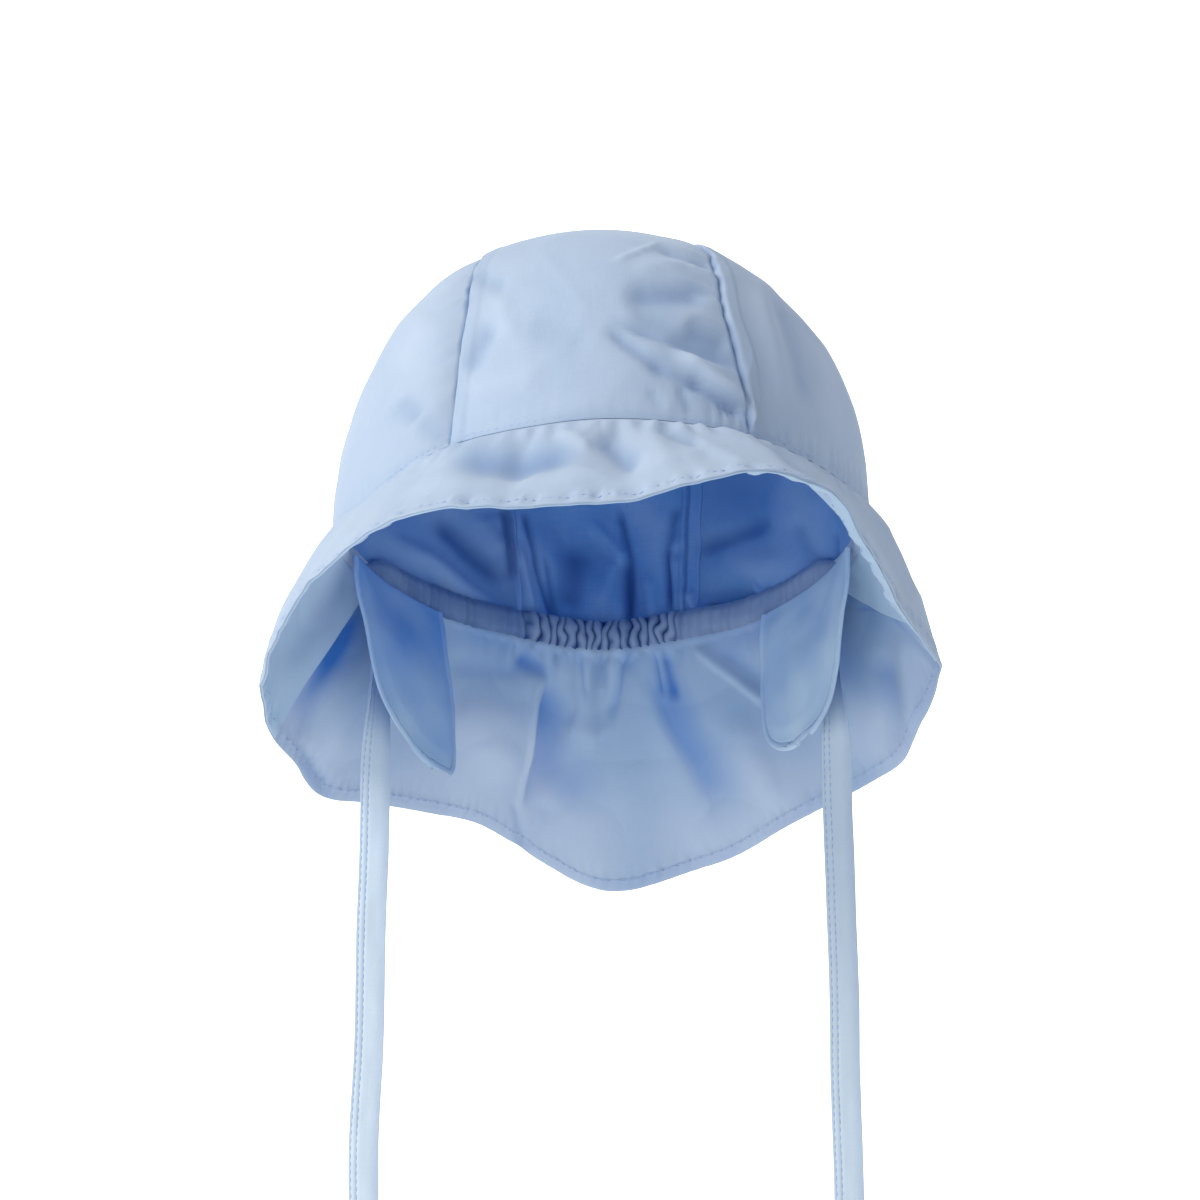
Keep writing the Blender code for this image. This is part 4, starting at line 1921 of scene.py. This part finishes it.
@dataclass
class Casing:
    """The elastic casing inside the nape, ruched over its elastic."""

    opening: Opening
    crown_height: float = 0.0865
    fullness: float = 2.42
    height: float = 0.0085
    end: float = 108.0
    inset: float = 0.0024
    wall: float = 0.0005
    ruche: float = 0.0013
    pitch: float = 2.25
    taper: float = 14.0
    ruched: tuple[tuple[float, float], ...] = ((186.0, 14.0), (168.0, 7.0))

    def lay(self, along: float, upward: float) -> Spot:
        """Lay the casing, a band just inside the crown's lower edge.

        Args:
            along: Share round the band.
            upward: Share up the band.

        Returns:
            The spot.
        """
        azimuth = self.end + (360.0 - 2.0 * self.end) * along
        away = abs(wrap(azimuth - 180.0))
        ending = smoothstep(min(along, 1.0 - along) * (360.0 - 2.0 * self.end) / self.taper)
        lift = -0.0006 + upward * (self.height + 0.0006) * (0.25 + 0.75 * ending)
        level = 1.0 - (max(0.0, lift) / self.crown_height) ** self.fullness
        lean = self.opening.half_width * (1.0 - level ** (1.0 / self.fullness))
        gathers = self.opening.gather * fade_out(away, self.opening.gathered_angle)
        inset = self.inset * (0.45 + 0.55 * ending)
        point = self.opening.rim(azimuth, inset + lean + gathers, lift)
        return Spot(point, None, azimuth, ending, lift, self.height - lift, upward)

    def ruching(self, azimuth: float) -> float:
        """Tell how strongly the elastic ruches the band at an azimuth."""
        return max(fade_out(abs(wrap(azimuth - centre)), reach) for centre, reach in self.ruched)

    def phase(self, spot: Spot) -> float:
        """Give where a spot lies between two ruches, as an angle.

        Args:
            spot: A place on the piece.

        Returns:
            The angle, in radians.
        """
        bend = noise.noise(Vector((spot.azimuth / 3.0, spot.along * 2.2, 2.0)))
        bend += noise.noise(Vector((spot.azimuth / 7.0, spot.along * 0.8, 6.0)))
        return pi * wrap(spot.azimuth - 180.0) / self.pitch + 1.9 * bend

    def relief(self, spot: Spot) -> float:
        """Give the height of the ruches, outward positive.

        Args:
            spot: A place on the piece.

        Returns:
            The height, outward positive.
        """
        ruched = self.ruching(spot.azimuth)
        waist = 0.5 + 0.5 * sin(pi * min(1.0, max(0.0, 0.1 + 0.8 * spot.along)))
        cushion = abs(sin(self.phase(spot))) ** 0.8
        total = -self.ruche * ruched * (2.0 * cushion - 0.6) * waist
        total -= 0.0009 * (1.0 - abs(2.0 * spot.along - 1.0) ** 3)
        total += 0.0007 * (1.0 - 0.7 * ruched) * smoothstep((spot.along - 0.7) / 0.3) * spot.seam
        total += 0.0004 * ripple(self.opening.arc(spot.azimuth), 0.0038, 51.0) * (1.0 - ruched)
        total += 0.0006 * crumple(spot.point, 0.010, 52.0) * (1.0 - 0.5 * ruched)
        return total

    def deep(self, spot: Spot) -> float:
        """Tell how much painted shade a spot gets between two ruches and along the band's edges.

        Args:
            spot: A place on the piece.

        Returns:
            The strength, of which the mesh keeps 0 to 1.
        """
        between = (1.0 - abs(sin(self.phase(spot)))) ** 1.3
        edge = 0.45 * bell(spot.along, 0.14) + 0.15 * smoothstep((spot.along - 0.6) / 0.4)
        return 1.4 * self.ruching(spot.azimuth) * between + edge + 0.3 * crumple(spot.point, 0.006, 54.0)

    def pale(self, spot: Spot) -> float:
        """Tell where the band catches the light.

        Args:
            spot: A place on the piece.

        Returns:
            The strength, of which the mesh keeps 0 to 1.
        """
        cushion = abs(sin(self.phase(spot))) ** 4 * self.ruching(spot.azimuth)
        right = smoothstep((spot.point.x - 0.018) / 0.01)
        return 0.22 * cushion + 0.22 * right

    def build(self, finishes: tuple[bpy.types.Material, bpy.types.Material]) -> None:
        """Build the casing.

        Args:
            finishes: The outer and inner materials.
        """
        piece = ClothPiece("nape_casing_band", self.lay, 700, 16, 1).raise_by(self.relief)
        # The band takes painted shade between and along its ruches and painted highlights on them.
        tints = {"deep": self.deep, "pale": self.pale}
        dress(piece, "nape_casing", "casing_cotton", self.wall, finishes, None, **tints)


@dataclass
class EarFlap:
    """A tongue of doubled cloth that hangs inside the crown seam over one ear."""

    opening: Opening
    side: Side
    hang: Hang
    # The share of the flap given painted shadow.
    shadow: float
    length: float = 0.051
    front: float = 101.0
    back: float = 138.0
    bow: float = 0.002
    roundness: float = 3.0
    tip: float = 0.0105
    inset: float = 0.0032
    drop: float = 0.0003
    cloth: float = 0.0013
    edge_seam: float = 0.0013

    def lay(self, across: float, down: float) -> Spot:
        """Lay the ear flap from the crown seam down to its rounded tip.

        Args:
            across: Share from front to back.
            down: Share from the seam to the tip.

        Returns:
            The spot.
        """
        side = self.side.value
        front = self.opening.rim(side * self.front, self.inset, -self.drop)
        back = self.opening.rim(side * self.back, self.inset, -self.drop)
        away = self.opening.outward(side * (self.front + self.back) / 2.0)
        tip = (self.tip / (back - front).length) ** self.roundness
        eased = sin(pi * down / 2.0) * 0.55 + down * 0.45
        spread = 0.3 * across + 0.7 * (0.5 - 0.5 * cos(pi * across))
        taper = (1.0 - (1.0 - tip) * eased**self.roundness) ** (1.0 / self.roundness)
        share = self.hang.tip + (spread - self.hang.tip) * taper
        azimuth = side * (self.front + (self.back - self.front) * share)
        sewn = self.opening.rim(azimuth, self.inset, -self.drop)
        flat = front + (back - front) * share
        bow = self.bow * sin(pi * eased) * (1.0 - (2.0 * spread - 1.0) ** 2)
        swing = Vector((-side * self.hang.inward, self.hang.backward, -1.0)) * self.length * self.hang.length
        point = sewn.lerp(flat, eased) + swing * eased - away * bow
        return Spot(point, None, azimuth, 1.0, eased * self.length, 1.0, spread)

    def relief(self, spot: Spot) -> float:
        """Give the height of the edge seam and the soft dents, outward positive.

        Args:
            spot: A place on the piece.

        Returns:
            The height, outward positive.
        """
        hanging = smoothstep(spot.rim / 0.006)
        total = 0.0005 * bell(spot.edge - self.edge_seam, 0.0004)
        total -= 0.0003 * bell(spot.edge - 0.0004, 0.0005)
        total -= 0.0006 * smoothstep((spot.edge - 0.0015) / 0.005) * hanging
        total += 0.0014 * crumple(spot.point, 0.020, 61.0 + self.side.value) * hanging
        total += 0.0003 * crumple(spot.point, 0.008, 67.0)
        return total

    def groove(self, spot: Spot) -> float:
        """Give the painted shade in the edge seam."""
        return 0.8 * bell(spot.edge - self.edge_seam, 0.0004)

    def deep(self, spot: Spot) -> float:
        """Tell how much of the flap lies in shadow."""
        upper = 1.0 - smoothstep(spot.rim / self.length)
        return self.shadow * (0.35 + 0.65 * upper) + 0.3 * crumple(spot.point, 0.014, 63.0)

    def pale(self, spot: Spot) -> float:
        """Tell where the flap catches the light.

        Args:
            spot: A place on the piece.

        Returns:
            The strength, of which the mesh keeps 0 to 1.
        """
        lower = smoothstep(spot.rim / self.length)
        rim = 0.22 * (1.0 - smoothstep(spot.edge / 0.0009))
        return rim + 0.15 * lower * (1.0 - self.shadow) + 0.2 * max(0.0, crumple(spot.point, 0.016, 65.0))

    def build(self, finishes: tuple[bpy.types.Material, bpy.types.Material]) -> None:
        """Build the ear flap.

        Args:
            finishes: The outer and inner materials.
        """
        name = self.side.name.lower()
        piece = ClothPiece(f"ear_flap_{name}_cloth", self.lay, 72, 80, -self.side.value)
        piece.measure_edges(("first", "last", "end")).raise_by(self.relief)
        # The ear flap takes painted shade in its edge seam, a painted shadow and painted highlights.
        tints = {"groove": self.groove, "deep": self.deep, "pale": self.pale}
        dress(piece, f"ear_flap_{name}", "ear_flap_cotton", self.cloth, finishes, Held.HUNG, **tints)


@dataclass
class Tie:
    """A folded cotton strip, topstitched along its open edge."""

    opening: Opening
    side: Side
    azimuth: float
    thread: bpy.types.Material
    width: float = 0.0088
    length: float = 0.238
    flare: float = 0.004
    turn_start: float = 0.08
    turn_end: float = 0.30
    inset: float = 0.0024
    drop: float = 0.0003
    cloth: float = 0.0009
    first_stitch: float = 0.10
    second_stitch: float = 0.27

    def lay(self, across: float, down: float) -> Spot:
        """Lay the tie from the crown seam down to its free end.

        Args:
            across: Share across.
            down: Share from the seam to the free end.

        Returns:
            The spot.
        """
        side = self.side.value
        azimuth = side * self.azimuth
        start = self.opening.rim(azimuth, self.inset, -self.drop)
        span = side * degrees(self.width / self.opening.half_depth)
        away = self.opening.outward(azimuth)
        along_rim = Vector((-away.y, away.x, 0.0)) * side
        across_view = Vector((-side, 0.0, 0.0))
        turn = smoothstep((down - self.turn_start) / (self.turn_end - self.turn_start))
        facing = along_rim.lerp(across_view, turn).normalized()
        sewn = self.opening.rim(azimuth + span * (across - 0.5), self.inset, -self.drop).z - start.z
        sewn *= 1.0 - smoothstep(down / self.turn_start)
        sway = 0.0009 * noise.noise(Vector((down * 5.0, side * 3.0, 1.0))) * smoothstep(down * 6.0)
        centre = start + Vector((side * self.flare * down + sway, 0.0, sewn - self.length * down))
        point = centre + facing * self.width * (across - 0.5)
        from_left = across if side < 0 else 1.0 - across
        return Spot(point, None, azimuth, 1.0, down * self.length, 1.0, from_left)

    def relief(self, spot: Spot) -> float:
        """Give the height of the stitched edge and the soft ripples, outward positive.

        Args:
            spot: A place on the piece.

        Returns:
            The height, outward positive.
        """
        total = 0.0
        for place in (self.first_stitch, self.second_stitch):
            total += 0.00022 * bell(spot.along - place, 0.045)
        total -= 0.00012 * bell(spot.along - 0.18, 0.06)
        total += 0.0007 * noise.noise(Vector((spot.rim / 0.035, spot.along * 0.7, self.side.value * 5.0)))
        total += 0.00022 * noise.noise(Vector((spot.rim / 0.009, spot.along * 2.0, 9.0)))
        return total * smoothstep(spot.rim / 0.01)

    def deep(self, spot: Spot) -> float:
        """Tell how much of the tie lies in the hat's shade."""
        shaded = 0.75 * (1.0 - smoothstep((spot.rim - 0.028) / 0.022))
        return shaded + 0.22 * smoothstep((spot.along - 0.6) / 0.4)

    def build(self, finishes: tuple[bpy.types.Material, bpy.types.Material]) -> None:
        """Build the tie and its stitches.

        Args:
            finishes: The outer and inner materials.
        """
        name = self.side.name.lower()
        piece = ClothPiece(f"tie_{name}_strip", self.lay, 24, 320, -self.side.value).raise_by(self.relief)
        dress(piece, f"tie_{name}", "tie_cotton", self.cloth, finishes, None, deep=self.deep)
        routes = []
        for place in (self.first_stitch, self.second_stitch):
            across = place if self.side is Side.LEFT else 1.0 - place
            faces = [piece.at(across, step / 320.0) for step in range(8, 319)]
            routes.append([(point - normal * self.cloth, -normal) for point, normal in faces])
        trim(StitchRow(f"tie_{name}_stitch", self.thread).make(routes))


@dataclass
class Studio:
    """A plain pale floor, a white backdrop and soft light from the upper left."""

    floor_height: float = -0.30
    floor_size: float = 6.0
    world: Colour = (0.465, 0.505, 0.565)

    def panel(self, name: str, size: float, place: Matrix, finish: Backdrop) -> bpy.types.Object:
        """Make a flat board of the set.

        Args:
            name: The board's name.
            size: Its side.
            place: Where it stands.
            finish: Its board.

        Returns:
            The board.
        """
        shape = bmesh.new()
        bmesh.ops.create_grid(shape, x_segments=2, y_segments=2, size=size / 2.0, matrix=place)
        mesh = bpy.data.meshes.new(name)
        shape.to_mesh(mesh)
        shape.free()
        mesh.materials.append(finish.material())
        item = bpy.data.objects.new(name, mesh)
        bpy.context.scene.collection.objects.link(item)
        return item

    def lamp(self, name: str, place: Vector, aim: Vector, size: float, power: float, tint: Colour) -> None:
        """Hang a soft square lamp.

        Args:
            name: The lamp's name.
            place: Where it hangs.
            aim: What it points at.
            size: Its side.
            power: Its power, in watts.
            tint: Its colour.
        """
        data = bpy.data.lights.new(name, "AREA")
        data.shape = "SQUARE"
        data.size = size
        data.energy = power
        data.color = tint
        item = bpy.data.objects.new(name, data)
        item.location = place
        item.rotation_euler = (aim - place).to_track_quat("-Z", "Y").to_euler()
        bpy.context.scene.collection.objects.link(item)

    def build(self) -> None:
        """Set up the floor, the backdrop, the lamps and the sky."""
        floor = Matrix.Translation((0.0, 0.0, self.floor_height))
        self.panel("studio_floor", self.floor_size, floor, Backdrop("floor_board", (0.80, 0.81, 0.83)))
        wall = Matrix.Translation((0.0, 2.2, 0.6)) @ Matrix.Rotation(pi / 2.0, 4, "X")
        self.panel("studio_backdrop", 3.2, wall, Backdrop("backdrop_board", (0.9, 0.9, 0.9), 1.2))
        self.lamp("key", Vector((-1.8, -1.0, 1.2)), Vector((0.0, 0.0, 0.0)), 1.1, 36.0, (1.0, 0.97, 0.91))
        low = Vector((-0.9, -1.7, -0.7))
        self.lamp("low_fill", low, Vector((0.0, 0.0, -0.05)), 0.9, 8.0, (1.0, 1.0, 1.0))
        sky = bpy.data.worlds.new("studio_sky")
        sky.use_nodes = True
        sky.node_tree.nodes["Background"].inputs["Color"].default_value = (*self.world, 1.0)
        sky.node_tree.nodes["Background"].inputs["Strength"].default_value = 1.0
        bpy.context.scene.world = sky
        bpy.context.scene.view_settings.view_transform = "Standard"


def main() -> None:
    """Build and dress the hat, then set up the studio."""
    logging.basicConfig(level=logging.INFO, format="%(message)s")
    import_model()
    view = StudioCamera()
    view.make()
    opening = Opening()
    thread = Thread("stitch_thread", (0.40, 0.52, 0.76)).material()
    # The second colour of these two is the painted shade where the cloth is doubled.
    outside = Cotton("poplin_outside", (0.485, 0.60, 0.765), (0.44, 0.56, 0.74)).material()
    brim_outside = Cotton("poplin_brim", (0.475, 0.59, 0.75), (0.44, 0.56, 0.73)).material()
    # The crown's inside is the same cotton in shade: its deeper blue is painted shade, and the next colour is
    # the painted shade in its folds.
    crown_tone = (0.125, 0.34, 0.74)
    crown_deep = (0.040, 0.135, 0.42)
    inside = Cotton("poplin_crown_inside", crown_tone, crown_tone, crown_deep, inner=True).material()
    # The brim's facing is the same cotton in light: its paler blue is painted light.
    facing = Cotton("poplin_brim_facing", (0.56, 0.75, 0.94), (0.54, 0.72, 0.91)).material()
    # The neck flap's inside is the same cotton in shade, with a deeper blue for the painted shade in its
    # folds.
    flap_tone = (0.41, 0.58, 0.80)
    flap_deep = (0.06, 0.245, 0.70)
    flap_inside = Cotton("poplin_flap_inside", flap_tone, flap_tone, flap_deep, inner=True).material()
    # The casing's grey-blue is painted shade inside the nape, with a darker blue for the painted shade
    # between its ruches.
    band_tone = (0.19, 0.31, 0.53)
    band = Cotton("poplin_casing", band_tone, band_tone, (0.03, 0.08, 0.27), inner=True).material()
    # The ear flaps' pale blue is the cloth in light, and the deeper blue is their painted shadow.
    ear_tone = (0.60, 0.80, 0.94)
    ear = Cotton("poplin_ear_flap", ear_tone, ear_tone, (0.16, 0.38, 0.82), inner=True).material()
    # The ties' pale blue is the cloth in light, and the deeper blue is their painted shade.
    strip_tone = (0.75, 0.87, 0.97)
    strip = Cotton("poplin_tie", strip_tone, strip_tone, (0.24, 0.36, 0.62), inner=True).material()
    Crown(opening, view, thread).build((outside, inside))
    Skirt(opening, view, thread).build((brim_outside, facing), (outside, flap_inside))
    Casing(opening).build((band, band))
    # The last number is each ear flap's share of painted shadow, more on the left.
    EarFlap(opening, Side.RIGHT, Hang(0.94, 0.06, 0.0, 0.40), 0.20).build((ear, ear))
    EarFlap(opening, Side.LEFT, Hang(1.01, 0.13, 0.0, 0.80), 0.85).build((ear, ear))
    Tie(opening, Side.RIGHT, 114.0, thread).build((strip, strip))
    Tie(opening, Side.LEFT, 118.0, thread).build((strip, strip))
    Studio().build()


if __name__ == "__main__":
    main()
